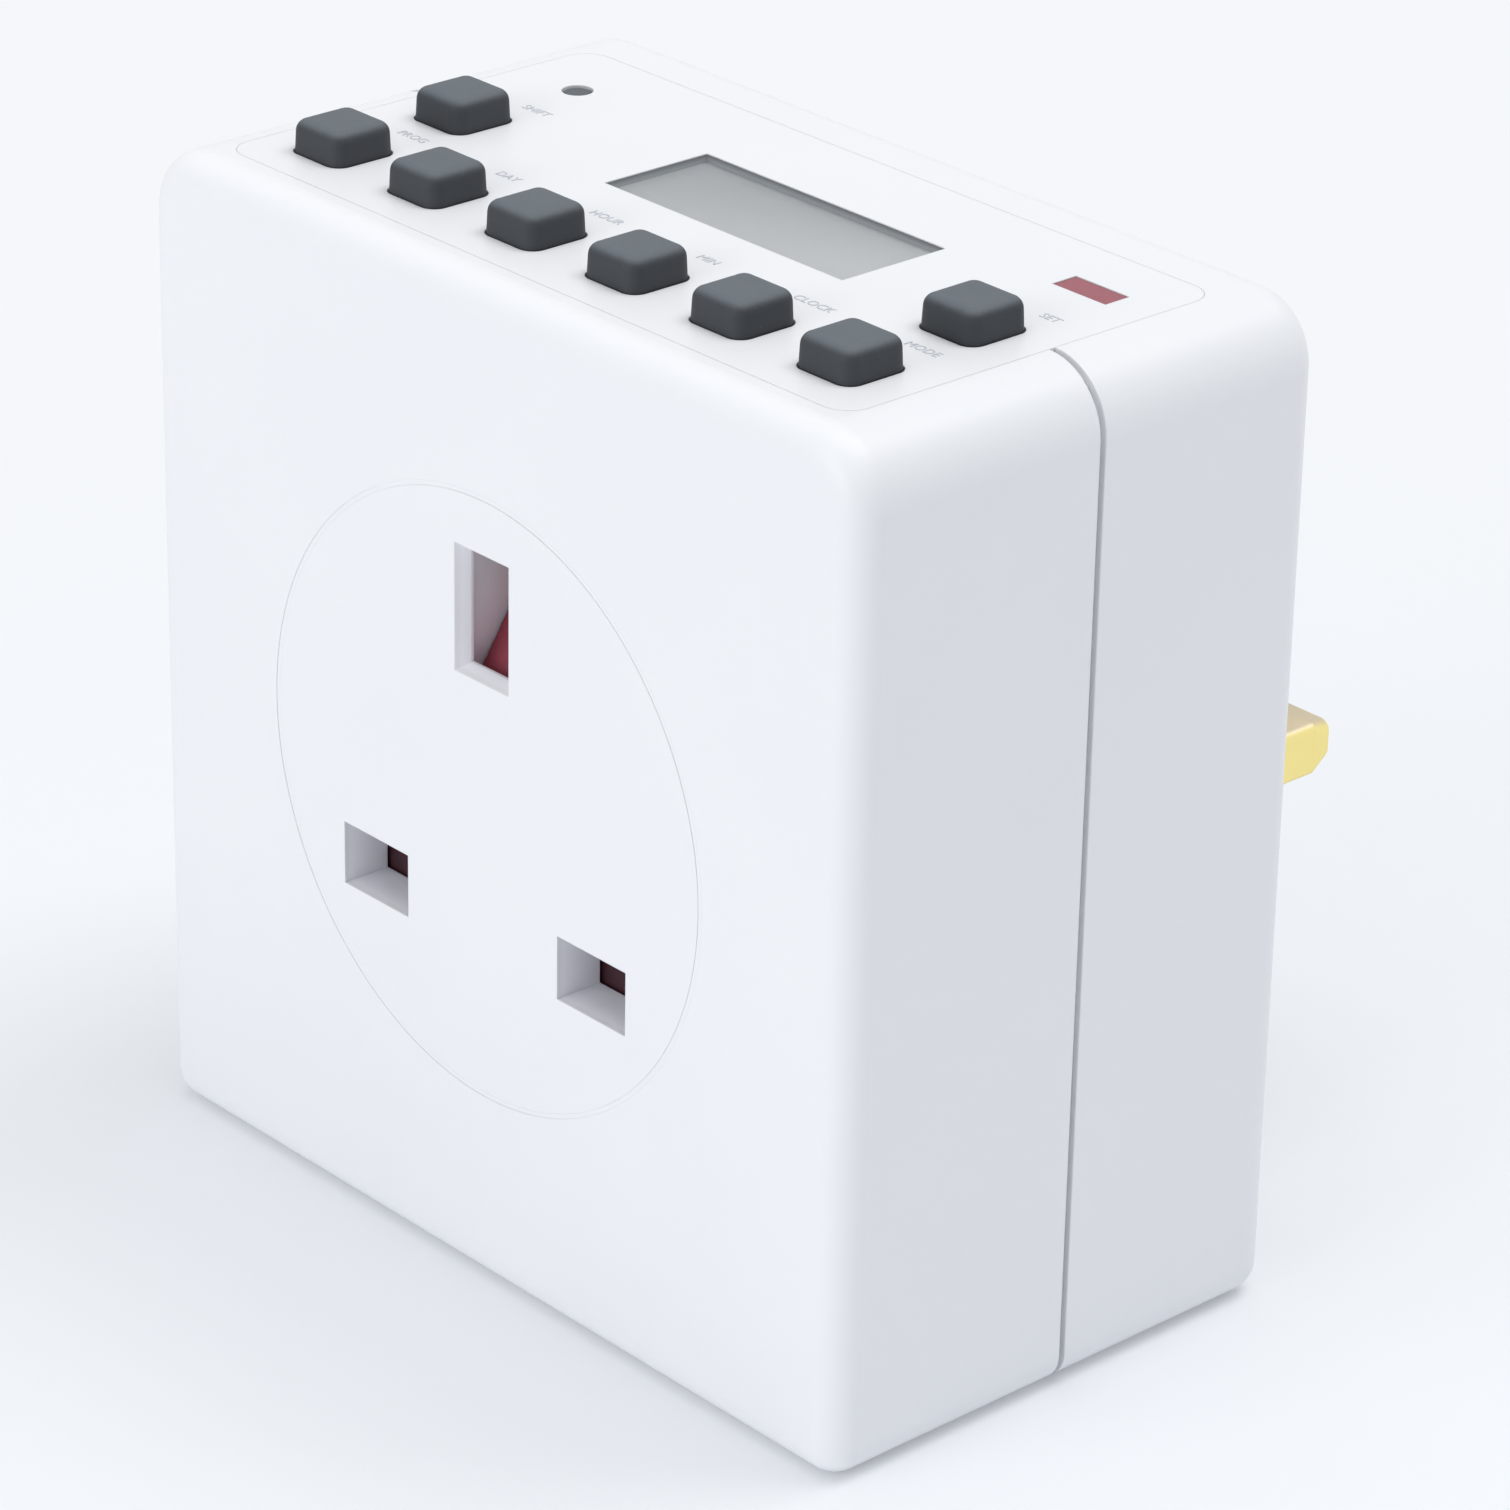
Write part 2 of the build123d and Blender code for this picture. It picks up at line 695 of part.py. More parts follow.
with BuildPart() as lcd_frame:
    with BuildSketch(top_view(board_top)):
        with Locations((view_x, view_depth)):
            RectangleRounded(lcd_frame_width, lcd_frame_length, lcd_frame_wall)
            Rectangle(lcd_width + 2 * fit_gap, lcd_length + 2 * fit_gap, mode=Mode.SUBTRACT)
    extrude(amount=board_drop - fit_gap)

with BuildPart() as zebra_strips:
    with BuildSketch(top_view(board_top)):
        zebra_reach = (lcd_length - zebra_width) / 2 - fit_gap
        with Locations((view_x, view_depth - zebra_reach), (view_x, view_depth + zebra_reach)):
            Rectangle(lcd_width - 2 * fit_gap, zebra_width)
    extrude(amount=lcd_bottom - board_top)

with BuildPart() as control_board:
    with BuildSketch(top_view(board_bottom)):
        with Locations((0, panel_mid)):
            Rectangle(panel_width - 2 * board_inset, panel_length - 2 * board_inset)
        with Locations(*control_screw_points):
            Circle(board_screw_d / 2 + slide_gap, mode=Mode.SUBTRACT)
    extrude(amount=board_thickness)

with BuildPart() as led_window:
    led_top = case_height - led_recess
    with BuildSketch(top_view(panel_bottom)):
        with Locations((key_end_x, led_depth)):
            Rectangle(led_view_width, led_view_length)
    extrude(amount=led_top - panel_bottom)
    with BuildSketch(top_view(panel_bottom)):
        with Locations((key_end_x, led_depth)):
            Rectangle(led_view_width + 2 * led_flange, led_view_length + 2 * led_flange)
    extrude(amount=-led_flange)

with BuildPart() as status_led:
    with BuildSketch(top_view(board_top)):
        with Locations((key_end_x, led_depth)):
            Rectangle(led_view_width, led_view_length + 2 * led_base_step)
    extrude(amount=led_base_height)
    with BuildSketch(top_view(board_top)):
        with Locations((key_end_x, led_depth)):
            Rectangle(led_view_width - 2 * led_base_step, led_view_length)
    extrude(amount=board_drop - led_flange - slide_gap)

with BuildPart() as reset_switch:
    with BuildSketch(top_view(board_top)):
        with Locations((reset_x, reset_depth)):
            RectangleRounded(reset_body, reset_body, small_edge_r)
    extrude(amount=reset_body_height)
    with BuildSketch(top_view(board_top + reset_body_height)):
        with Locations((reset_x, reset_depth)):
            Circle(reset_plunger_d / 2 + slide_gap)
    extrude(amount=-3 * reset_travel, mode=Mode.SUBTRACT)

plunger_foot = board_top + reset_body_height - 2 * reset_travel + fit_gap
with BuildPart() as reset_plunger:
    with BuildSketch(top_view(plunger_foot)):
        with Locations((reset_x, reset_depth)):
            Circle(reset_plunger_d / 2)
    extrude(amount=case_height - reset_sink - plunger_foot)
    fillet(reset_plunger.faces().sort_by(Axis.Z)[-1].edges(), slide_gap)

with BuildPart() as control_chip:
    with BuildSketch(top_view(board_bottom)):
        with Locations((-key_pitch / 2, chip_row_depth)):
            RectangleRounded(chip_size, chip_size, small_edge_r)
    extrude(amount=-chip_thickness)

crystal_x = -key_pitch / 2 - chip_size / 2 - component_gap - crystal_width / 2
with BuildPart() as crystal:
    with BuildSketch(top_view(board_bottom)):
        with Locations((crystal_x, chip_row_depth)):
            RectangleRounded(crystal_width, crystal_length, crystal_corner_r)
    extrude(amount=-crystal_height)

with BuildPart() as backup_battery:
    with BuildSketch(top_view(board_bottom)):
        with Locations((key_pitch, chip_row_depth)):
            Circle(battery_d / 2)
    extrude(amount=-battery_thickness)
    fillet(backup_battery.faces().sort_by(Axis.Z)[0].edges(), battery_edge_r)

# shutter: wings over the power apertures, a stem, and the ramp that the earth pin presses down
with BuildPart() as shutter:
    with BuildSketch(front_view(shutter_front)):
        with Locations((0, (wing_bottom + wing_top) / 2)):
            Rectangle(2 * wing_half, wing_top - wing_bottom)
        with Locations((0, (wing_bottom + ramp_foot_z) / 2)):
            Rectangle(shutter_stem_width, ramp_foot_z - wing_bottom)
    extrude(amount=-shutter_thickness)
    with BuildSketch(side_view(-ramp_width / 2)):
        with BuildLine():
            Polyline(
                (earth_wall + ramp_inset, ramp_block_bottom),
                (earth_wall + ramp_inset, ramp_foot_z),
                (shutter_back, ramp_foot_z + ramp_rise),
                (shutter_back, ramp_block_bottom),
                close=True,
            )
        make_face()
    extrude(amount=ramp_width)


def helix_point(turn, base):
    """Point on the middle line of the spring after so many turns, and its direction there."""
    rise = (spring_length - 2 * spring_wire_r - fit_gap) / spring_turns
    angle = 2 * math.pi * turn
    centre = Vector(0, front_y + spring_depth, base)
    point = centre + Vector(spring_r * math.cos(angle), spring_r * math.sin(angle), rise * turn)
    tangent = Vector(-spring_r * math.sin(angle), spring_r * math.cos(angle), rise / (2 * math.pi))
    return point, tangent.normalized()


def biarc_middle(start, start_dir, end, end_dir):
    """Point where two arcs meet that leave the start and reach the end in the given directions."""
    chord = end - start
    a = 2 * (start_dir.dot(end_dir) - 1)
    b = -2 * chord.dot(start_dir + end_dir)
    c = chord.dot(chord)
    reach = (-b - math.sqrt(b * b - 4 * a * c)) / (2 * a)
    first = start + start_dir * reach
    second = end - end_dir * reach
    return (first + second) * 0.5, (second - first).normalized()


spring_base = spring_seat_z + spring_wire_r + fit_gap / 2
spring_stops = [helix_point(half / 2, spring_base) for half in range(2 * spring_turns + 1)]
with BuildPart() as shutter_spring:
    with BuildLine() as spring_path:
        for (start, start_dir), (end, end_dir) in zip(spring_stops, spring_stops[1:]):
            middle, middle_dir = biarc_middle(start, start_dir, end, end_dir)
            TangentArc(start, middle, tangent=start_dir)
            TangentArc(middle, end, tangent=middle_dir)
    with BuildSketch(Plane(origin=spring_stops[0][0], z_dir=spring_stops[0][1])):
        Circle(spring_wire_r)
    sweep(path=spring_path.wire())


def clip_sketch(back, half_gap):
    """Bent strip that grips a blade: two leaves with flared lips, joined at the back."""
    lip = carrier_front + slide_gap
    leaf = lip + contact_lip
    outer = half_gap + strip_thickness
    upper = [
        (back, outer),
        (leaf, outer),
        (lip, outer + contact_flare),
        (lip, half_gap + contact_flare),
        (leaf, half_gap),
        (back - strip_thickness, half_gap),
    ]
    lower = [(depth, -across) for depth, across in reversed(upper)]
    with BuildSketch() as clip:
        with BuildLine():
            Polyline(*upper, *lower, close=True)
        make_face()
    return clip.sketch


power_half_gap = (power_blade_height - contact_nip) / 2
earth_half_gap = (earth_blade_width - contact_nip) / 2
power_clip = clip_sketch(power_contact_back, power_half_gap)
earth_clip = clip_sketch(earth_contact_back, earth_half_gap)
line_tail_depth = carrier_back + line_tail_length


def make_power_contact(x, tail_depth, tab_bottom):
    """Contact of a power aperture with its tail, and a tab turned down at the tail's end."""
    with BuildPart() as contact:
        with BuildSketch(side_view(x - contact_width / 2, power_z)):
            add(power_clip)
        extrude(amount=contact_width)
        with BuildSketch(front_view(power_contact_back)):
            with Locations((x, power_z)):
                Rectangle(strip_width, strip_thickness)
        extrude(amount=power_contact_back - tail_depth)
        if tab_bottom < power_z - strip_thickness:
            tab_top = power_z + strip_thickness / 2
            with BuildSketch(front_view(tail_depth)):
                with Locations((x, (tab_bottom + tab_top) / 2)):
                    Rectangle(strip_width, tab_top - tab_bottom)
            extrude(amount=strip_thickness)
    return contact


neutral_tab_bottom = plug_power_z - power_blade_height / 2 + pin_tail_inset
line_contact = make_power_contact(blade_x, line_tail_depth, power_z)
neutral_contact = make_power_contact(-blade_x, inner_back_depth, neutral_tab_bottom)

with BuildPart() as earth_contact:
    with BuildSketch(Plane(origin=(0, front_y, earth_z - earth_blade_height / 2), x_dir=(0, 1, 0))):
        add(earth_clip)
    extrude(amount=earth_blade_height)
    with BuildSketch(front_view(earth_contact_back)):
        with Locations((0, earth_z)):
            Rectangle(strip_width, strip_thickness)
    extrude(amount=earth_contact_back - inner_back_depth)
    earth_tab_bottom = plug_earth_z - earth_blade_height / 2 + pin_tail_inset
    earth_tab_top = earth_z + strip_thickness / 2
    with BuildSketch(front_view(inner_back_depth)):
        with Locations((0, (earth_tab_bottom + earth_tab_top) / 2)):
            Rectangle(strip_width, earth_tab_top - earth_tab_bottom)
    extrude(amount=strip_thickness)

with BuildPart() as contact_carrier:
    with BuildSketch(front_view(carrier_front)):
        with Locations((0, ear_z)):
            Rectangle(2 * carrier_half, carrier_top - carrier_bottom)
    extrude(amount=carrier_front - carrier_back)
    with BuildSketch(front_view(carrier_front)):
        with Locations((0, ear_z)):
            Rectangle(2 * (carrier_half + ear_width), ear_height)
    extrude(amount=-ear_thickness)
    clip_reach = strip_thickness + contact_flare + slide_gap
    with BuildSketch(front_view(carrier_front)):
        with Locations((-blade_x, power_z), (blade_x, power_z)):
            Rectangle(power_slot_width + 2 * fit_gap, 2 * (power_half_gap + clip_reach))
    extrude(amount=carrier_front - power_contact_back, mode=Mode.SUBTRACT)
    with BuildSketch(front_view(carrier_front)):
        with Locations((0, earth_z)):
            Rectangle(2 * (earth_half_gap + clip_reach), earth_slot_height + 2 * fit_gap)
    extrude(amount=carrier_front - earth_contact_back, mode=Mode.SUBTRACT)
    with BuildSketch(front_view(carrier_front)):
        with Locations((-blade_x, power_z), (blade_x, power_z), (0, earth_z)):
            Rectangle(strip_width + 2 * slide_gap, strip_thickness + 2 * slide_gap)
        with Locations(*ear_points):
            Circle(small_screw_d / 2 + slide_gap)
    extrude(amount=carrier_front - carrier_back, mode=Mode.SUBTRACT)


def make_pin(x, z, blade, sleeved):
    """Plug pin: tail, head held by the retainer, and blade, necked below a sleeve where it has one."""
    width, height, length = blade
    neck = sleeve_thickness if sleeved else 0.0
    neck_end = plug_face_depth + sleeve_length if sleeved else plug_face_depth
    blade_end = plug_face_depth + length
    tip_start = blade_end - blade_tip_length
    with BuildPart() as pin:
        with BuildSketch(front_view(inner_back_depth)):
            with Locations((x, z)):
                Rectangle(width - 2 * pin_tail_inset, height - 2 * pin_tail_inset)
        extrude(amount=inner_back_depth - pin_head_depth)
        with BuildSketch(front_view(pin_head_depth)):
            with Locations((x, z)):
                Rectangle(width + 2 * pin_head_lap, height + 2 * pin_head_lap)
        extrude(amount=-pin_head_thickness)
        with BuildSketch(front_view(neck_end)):
            with Locations((x, z)):
                RectangleRounded(width, height, blade_edge_r)
        extrude(amount=neck_end - tip_start)
        with BuildSketch(front_view(tip_start)):
            with Locations((x, z)):
                RectangleRounded(width, height, blade_edge_r)
        with BuildSketch(front_view(blade_end)):
            with Locations((x, z)):
                RectangleRounded(width - 2 * blade_tip_inset, height - 2 * blade_tip_inset, blade_tip_edge_r)
        loft(ruled=True)
        fillet(pin.faces().sort_by(Axis.Y)[-1].edges(), blade_tip_r)
        with BuildSketch(front_view(plug_inner_depth)):
            with Locations((x, z)):
                Rectangle(width - 2 * neck, height - 2 * neck)
        extrude(amount=plug_inner_depth - neck_end)
    return pin


def make_sleeve(x):
    """Insulating sleeve on the root of a power pin."""
    with BuildPart() as sleeve:
        with BuildSketch(front_view(plug_inner_depth)):
            with Locations((x, plug_power_z)):
                RectangleRounded(power_blade_width, power_blade_height, blade_edge_r)
                Rectangle(
                    power_blade_width - 2 * sleeve_thickness + fit_gap,
                    power_blade_height - 2 * sleeve_thickness + fit_gap,
                    mode=Mode.SUBTRACT,
                )
        extrude(amount=plug_inner_depth - plug_face_depth - sleeve_length)
    return sleeve


power_blade = (power_blade_width, power_blade_height, power_blade_length)
earth_blade = (earth_blade_width, earth_blade_height, earth_blade_length)
line_pin = make_pin(blade_x, plug_power_z, power_blade, True)
neutral_pin = make_pin(-blade_x, plug_power_z, power_blade, True)
earth_pin = make_pin(0, plug_earth_z, earth_blade, False)
line_pin_sleeve = make_sleeve(blade_x)
neutral_pin_sleeve = make_sleeve(-blade_x)

with BuildPart() as pin_retainer:
    with BuildSketch(front_view(retainer_front)):
        offset(plug_boss_outline.sketch, amount=-boss_wall - slide_gap)
        add(blades_sketch(plug_power_z, plug_earth_z, slide_gap - pin_tail_inset), mode=Mode.SUBTRACT)
        with Locations(*retainer_screw_points):
            Circle(small_screw_d / 2 + slide_gap, mode=Mode.SUBTRACT)
    extrude(amount=-retainer_thickness)

# power board and what stands on it
with BuildPart() as power_board:
    with BuildSketch(top_view(power_board_bottom)):
        with Locations((0, (power_board_front + power_board_back) / 2)):
            Rectangle(2 * power_board_half, power_board_back - power_board_front)
        with Locations(*power_screw_points):
            Circle(small_screw_d / 2 + slide_gap, mode=Mode.SUBTRACT)
    extrude(amount=board_thickness)

with BuildPart() as relay:
    with BuildSketch(top_view(power_board_top)):
        with Locations(((relay_left + relay_right) / 2, (relay_front + relay_back) / 2)):
            Rectangle(relay_right - relay_left, relay_back - relay_front)
    extrude(amount=relay_top - power_board_top)
    fillet(relay.edges().filter_by(Axis.Z), small_edge_r)
    chamfer(relay.faces().sort_by(Axis.Z)[-1].edges(), small_edge_r)

dropper_place = (
    relay_right + component_gap + dropper_length / 2,
    relay_front + dropper_width / 2,
)
with BuildPart() as dropper_capacitor:
    with BuildSketch(top_view(power_board_top)):
        with Locations(dropper_place):
            Rectangle(dropper_length, dropper_width)
    extrude(amount=capacitor_top - power_board_top)
    fillet(dropper_capacitor.edges().filter_by(Axis.Z), small_edge_r)

smoothing_place = (
    relay_right + component_gap + dropper_length - smoothing_d / 2,
    relay_front + dropper_width + component_gap + smoothing_d / 2,
)
with BuildPart() as smoothing_capacitor:
    with BuildSketch(top_view(power_board_top)):
        with Locations(smoothing_place):
            Circle(smoothing_d / 2)
    extrude(amount=capacitor_top - power_board_top)
    fillet(smoothing_capacitor.faces().sort_by(Axis.Z)[-1].edges(), small_edge_r)

diode_depth = relay_back + component_gap + diode_length / 2
with BuildPart() as rectifier_diodes:
    with BuildSketch(top_view(power_board_top)):
        for step in range(4):
            with Locations(((step - 2) * diode_pitch, diode_depth)):
                Rectangle(diode_width, diode_length)
    extrude(amount=diode_height)

resistor_x = 2 * diode_pitch
resistor_start = relay_back + 2 * component_gap
resistor_end = resistor_start + resistor_length
resistor_z = power_board_top + resistor_lift + resistor_d / 2
with BuildPart() as fuse_resistor:
    with BuildSketch(facing_back(resistor_x, resistor_start, resistor_z)):
        Circle(resistor_d / 2)
    extrude(amount=resistor_length)
    with BuildSketch(facing_back(resistor_x, resistor_start - resistor_wire_d, resistor_z)):
        Circle(resistor_wire_d / 2)
    extrude(amount=resistor_length + 2 * resistor_wire_d)
    with BuildSketch(top_view(power_board_top)):
        with Locations(
            (resistor_x, resistor_start - resistor_wire_d / 2),
            (resistor_x, resistor_end + resistor_wire_d / 2),
        ):
            Circle(resistor_wire_d / 2)
    extrude(amount=resistor_z - power_board_top)

# wires to the power board
line_out_x = blade_x - (strip_width - lead_d) / 2
line_out_depth = carrier_back + line_tail_length / 2
neutral_lead_front = max(carrier_back + component_gap, relay_back + slide_gap + fit_gap)
neutral_lead_depth = neutral_lead_front + thin_lead_d / 2
with BuildPart() as line_lead_out:
    with BuildSketch(top_view(power_board_top)):
        with Locations((line_out_x, line_out_depth)):
            Circle(lead_d / 2)
    extrude(amount=power_z - strip_thickness / 2 - power_board_top)

with BuildPart() as neutral_lead:
    with BuildSketch(top_view(power_board_top)):
        with Locations((-blade_x, neutral_lead_depth)):
            Circle(thin_lead_d / 2)
    extrude(amount=power_z - strip_thickness / 2 - power_board_top)

line_in_y = front_y + inner_back_depth - line_in_run
line_in_start_x = blade_x + power_blade_width / 2 - pin_tail_inset - lead_d / 2
line_in_x = blade_x + line_in_side
with BuildPart() as line_lead_in:
    with BuildLine() as line_in_path:
        FilletPolyline(
            (line_in_start_x, front_y + inner_back_depth, plug_power_z),
            (line_in_start_x, line_in_y, plug_power_z),
            (line_in_x, line_in_y, plug_power_z - line_in_drop),
            (line_in_x, line_in_y, power_board_top),
            radius=lead_d,
        )
    with BuildSketch(facing_front(line_in_start_x, inner_back_depth, plug_power_z)):
        Circle(lead_d / 2)
    sweep(path=line_in_path.wire())

# ribbon between the boards
link_y = front_y + link_depth
link_top = board_bottom - link_socket_height
link_bottom = power_board_top + link_socket_height
link_step = (link_top - link_bottom) / 6
with BuildPart() as link_sockets:
    for socket_base in (link_top, power_board_top):
        with BuildSketch(top_view(socket_base)):
            with Locations((link_x, link_depth)):
                Rectangle(link_socket_width, link_socket_length)
        extrude(amount=link_socket_height)

with BuildPart() as link_cable:
    with BuildLine() as link_path:
        FilletPolyline(
            (link_x, link_y, link_top),
            (link_x, link_y, link_top - link_step),
            (link_x - link_swing, link_y, link_top - 2 * link_step),
            (link_x - link_swing, link_y, link_bottom + 2 * link_step),
            (link_x, link_y, link_bottom + link_step),
            (link_x, link_y, link_bottom),
            radius=3 * link_wire_d,
        )
    with BuildSketch(Plane(origin=(link_x, link_y, link_top), x_dir=(0, 1, 0), z_dir=(0, 0, -1))):
        with GridLocations(link_wire_pitch, 0, link_wires, 1):
            Circle(link_wire_d / 2)
    sweep(path=link_path.wire())


def make_screw(shank_d, length):
    """Cross-head screw that stands on its tip, with the seat of its head at height zero."""
    head_r = shank_d * head_scale / 2
    head_height = shank_d * head_height_scale
    with BuildPart() as screw:
        with BuildSketch():
            Circle(head_r)
        extrude(amount=head_height)
        fillet(screw.faces().sort_by(Axis.Z)[-1].edges(), head_height / 3)
        with BuildSketch():
            Circle(shank_d / 2)
        extrude(amount=-length)
        with BuildSketch(Plane.XY.offset(head_height)):
            Rectangle(head_r, head_r / 4)
            Rectangle(head_r / 4, head_r)
        extrude(amount=-head_height / 2, mode=Mode.SUBTRACT)
    return screw.part


case_screw = make_screw(case_screw_d, case_screw_length)
small_screw = make_screw(small_screw_d, small_screw_length)
power_screw = make_screw(small_screw_d, board_thickness + board_standoff)
board_screw = make_screw(board_screw_d, board_screw_length)

with BuildPart() as case_screws:
    with Locations(*[facing_back(x, case_depth - case_screw_recess, z) for x, z in case_screw_points]):
        add(case_screw)

with BuildPart() as carrier_screws:
    with Locations(*[facing_back(x, carrier_front + ear_thickness, z) for x, z in ear_points]):
        add(small_screw)

with BuildPart() as retainer_screws:
    with Locations(*[facing_front(x, retainer_front, z) for x, z in retainer_screw_points]):
        add(small_screw)

with BuildPart() as power_board_screws:
    with Locations(*[(x, front_y + depth, power_board_top) for x, depth in power_screw_points]):
        add(power_screw)

with BuildPart() as control_board_screws:
    with Locations(*[facing_down(x, depth, board_bottom) for x, depth in control_screw_points]):
        add(board_screw)

pieces = {
    "front_cover": front_cover,
    "rear_cover": rear_cover,
    "control_panel": control_panel,
    **keys,
    "keypad_mat": keypad_mat,
    "display_window": display_window,
    "lcd_glass": lcd_glass,
    "lcd_frame": lcd_frame,
    "zebra_strips": zebra_strips,
    "control_board": control_board,
    "led_window": led_window,
    "status_led": status_led,
    "reset_switch": reset_switch,
    "reset_plunger": reset_plunger,
    "control_chip": control_chip,
    "crystal": crystal,
    "backup_battery": backup_battery,
    "shutter": shutter,
    "shutter_spring": shutter_spring,
    "line_contact": line_contact,
    "neutral_contact": neutral_contact,
    "earth_contact": earth_contact,
    "contact_carrier": contact_carrier,
    "line_pin": line_pin,
    "neutral_pin": neutral_pin,
    "earth_pin": earth_pin,
    "line_pin_sleeve": line_pin_sleeve,
    "neutral_pin_sleeve": neutral_pin_sleeve,
    "pin_retainer": pin_retainer,
    "power_board": power_board,
    "relay": relay,
    "dropper_capacitor": dropper_capacitor,
    "smoothing_capacitor": smoothing_capacitor,
    "rectifier_diodes": rectifier_diodes,
    "fuse_resistor": fuse_resistor,
    "line_lead_in": line_lead_in,
    "line_lead_out": line_lead_out,
    "neutral_lead": neutral_lead,
    "link_sockets": link_sockets,
    "link_cable": link_cable,
    "case_screws": case_screws,
    "carrier_screws": carrier_screws,
    "retainer_screws": retainer_screws,
    "power_board_screws": power_board_screws,
    "control_board_screws": control_board_screws,
}

os.makedirs("parts", exist_ok=True)
for name, piece in pieces.items():
    piece.part.label = name
    export_step(piece.part, f"parts/{name}.step")
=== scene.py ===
# %% [markdown]
# # A plug-in time switch
# The solids of this time switch come from a CAD model: a white two-part case with a socket on its
# front, plug pins on its back, and a panel with eight rubber keys and a small display in its top.
# This lesson sets up a plain studio with the camera where the photographer stood, gives every solid
# its finish, winds the shutter's spring and prints the words on the panel.

# %% Load the solids
import bpy
from math import cos, radians, sin
from mathutils import Matrix, Vector


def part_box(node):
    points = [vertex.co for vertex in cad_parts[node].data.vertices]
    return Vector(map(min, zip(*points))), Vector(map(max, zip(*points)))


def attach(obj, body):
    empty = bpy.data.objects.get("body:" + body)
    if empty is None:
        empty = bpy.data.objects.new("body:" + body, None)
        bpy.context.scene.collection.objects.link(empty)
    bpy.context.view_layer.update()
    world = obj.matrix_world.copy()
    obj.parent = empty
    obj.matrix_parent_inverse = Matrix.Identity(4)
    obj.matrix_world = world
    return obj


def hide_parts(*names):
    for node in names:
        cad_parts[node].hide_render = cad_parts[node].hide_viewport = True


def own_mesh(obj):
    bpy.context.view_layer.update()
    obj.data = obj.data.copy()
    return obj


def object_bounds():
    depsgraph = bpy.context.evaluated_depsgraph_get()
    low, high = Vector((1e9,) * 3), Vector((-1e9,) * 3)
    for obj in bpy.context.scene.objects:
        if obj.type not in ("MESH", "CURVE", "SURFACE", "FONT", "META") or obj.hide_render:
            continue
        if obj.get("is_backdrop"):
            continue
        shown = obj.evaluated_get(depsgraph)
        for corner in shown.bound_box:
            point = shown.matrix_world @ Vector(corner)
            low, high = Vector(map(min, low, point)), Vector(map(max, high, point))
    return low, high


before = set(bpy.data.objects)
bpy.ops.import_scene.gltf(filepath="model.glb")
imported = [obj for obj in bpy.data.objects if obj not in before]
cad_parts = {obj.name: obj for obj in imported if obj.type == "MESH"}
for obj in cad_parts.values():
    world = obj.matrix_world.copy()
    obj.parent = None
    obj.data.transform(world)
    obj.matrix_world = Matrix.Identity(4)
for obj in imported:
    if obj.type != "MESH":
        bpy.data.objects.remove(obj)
cad_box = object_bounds()
mm = 0.001
print("solids loaded:", len(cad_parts))

# %% [markdown]
# ## The camera
# A camera can be moved by hand until the picture looks right. Here the corners of the case and the
# centres of the three apertures are known in millimetres, and that is enough to work out where the
# camera stood: it looked down at 25 degrees past the right-hand front corner, through a long lens,
# and leaned by one degree.

# %% Camera at the photographer's place
aim = Vector((4.51 * mm, cad_box[0].y + 20.02 * mm, 35.10 * mm))
camera_turn, camera_height, camera_lean = radians(47.65), radians(25.34), radians(1.139)
camera_distance = 410.8 * mm
photo_side, focal_pixels = 1510, 6131.2

flat_reach = cos(camera_height)
towards = Vector((sin(camera_turn) * flat_reach, -cos(camera_turn) * flat_reach, sin(camera_height)))
level = Vector((0, 0, 1)).cross(towards).normalized()
upright = towards.cross(level)
right = level * cos(camera_lean) + upright * sin(camera_lean)
up = upright * cos(camera_lean) - level * sin(camera_lean)

lens = bpy.data.cameras.new("photo_camera")
lens.sensor_width = 36.0
lens.lens = lens.sensor_width * focal_pixels / photo_side
camera = bpy.data.objects.new("photo_camera", lens)
bpy.context.scene.collection.objects.link(camera)
turned = Matrix((right, up, towards)).transposed().to_4x4()
camera.matrix_world = Matrix.Translation(aim + towards * camera_distance) @ turned
bpy.context.scene.camera = camera
stand = [round(c / mm) for c in camera.matrix_world.translation]
print("camera at", stand, "mm, lens", round(lens.lens), "mm")

# %% [markdown]
# ## Sums on shader sockets
# A finish is a small program made of nodes. Wired one by one, even a short sum fills a page. This
# class holds one socket of a node and understands plus, minus and times, so that a sum such as
# `0.4 - 0.1 * worn` adds the nodes it needs. Every other kind of node comes from its `node` method:
# first the settings, then what goes into each socket.

# %% A socket that can be used in sums
class Field:
    """A socket whose value changes over a surface."""

    def __init__(self, socket):
        self.socket = socket

    def node(self, kind, settings=None, inputs=None, output=0):
        """Add a node beside this socket, set it up, fill its inputs, and return one of its outputs."""
        tree = self.socket.id_data
        made = tree.nodes.new("ShaderNode" + kind)
        for key, value in (settings or {}).items():
            setattr(made, key, value)
        for key, value in (inputs or {}).items():
            if isinstance(value, Field):
                tree.links.new(value.socket, made.inputs[key])
            else:
                made.inputs[key].default_value = value
        return Field(made.outputs[output]) if made.outputs else None

    def sum(self, operation, first, second):
        """A Math node on two values."""
        return self.node("Math", {"operation": operation}, {0: first, 1: second})

    def __add__(self, other):
        return self.sum("ADD", self, other)

    def __radd__(self, other):
        return self.sum("ADD", other, self)

    def __sub__(self, other):
        return self.sum("SUBTRACT", self, other)

    def __rsub__(self, other):
        return self.sum("SUBTRACT", other, self)

    def __mul__(self, other):
        return self.sum("MULTIPLY", self, other)

    def __rmul__(self, other):
        return self.sum("MULTIPLY", other, self)

    def above(self, level, softness):
        """One where the value is above a level and zero below it, with a soft step between."""
        limits = {"Value": self, "From Min": level - softness, "From Max": level + softness}
        return self.node("MapRange", {"interpolation_type": "SMOOTHSTEP"}, limits)

    def tint(self, low, high):
        """A colour that goes from low to high with the value."""
        return self.node("Mix", {"data_type": "RGBA"}, {0: self, 6: low, 7: high}, output=2)


print("sums ready")

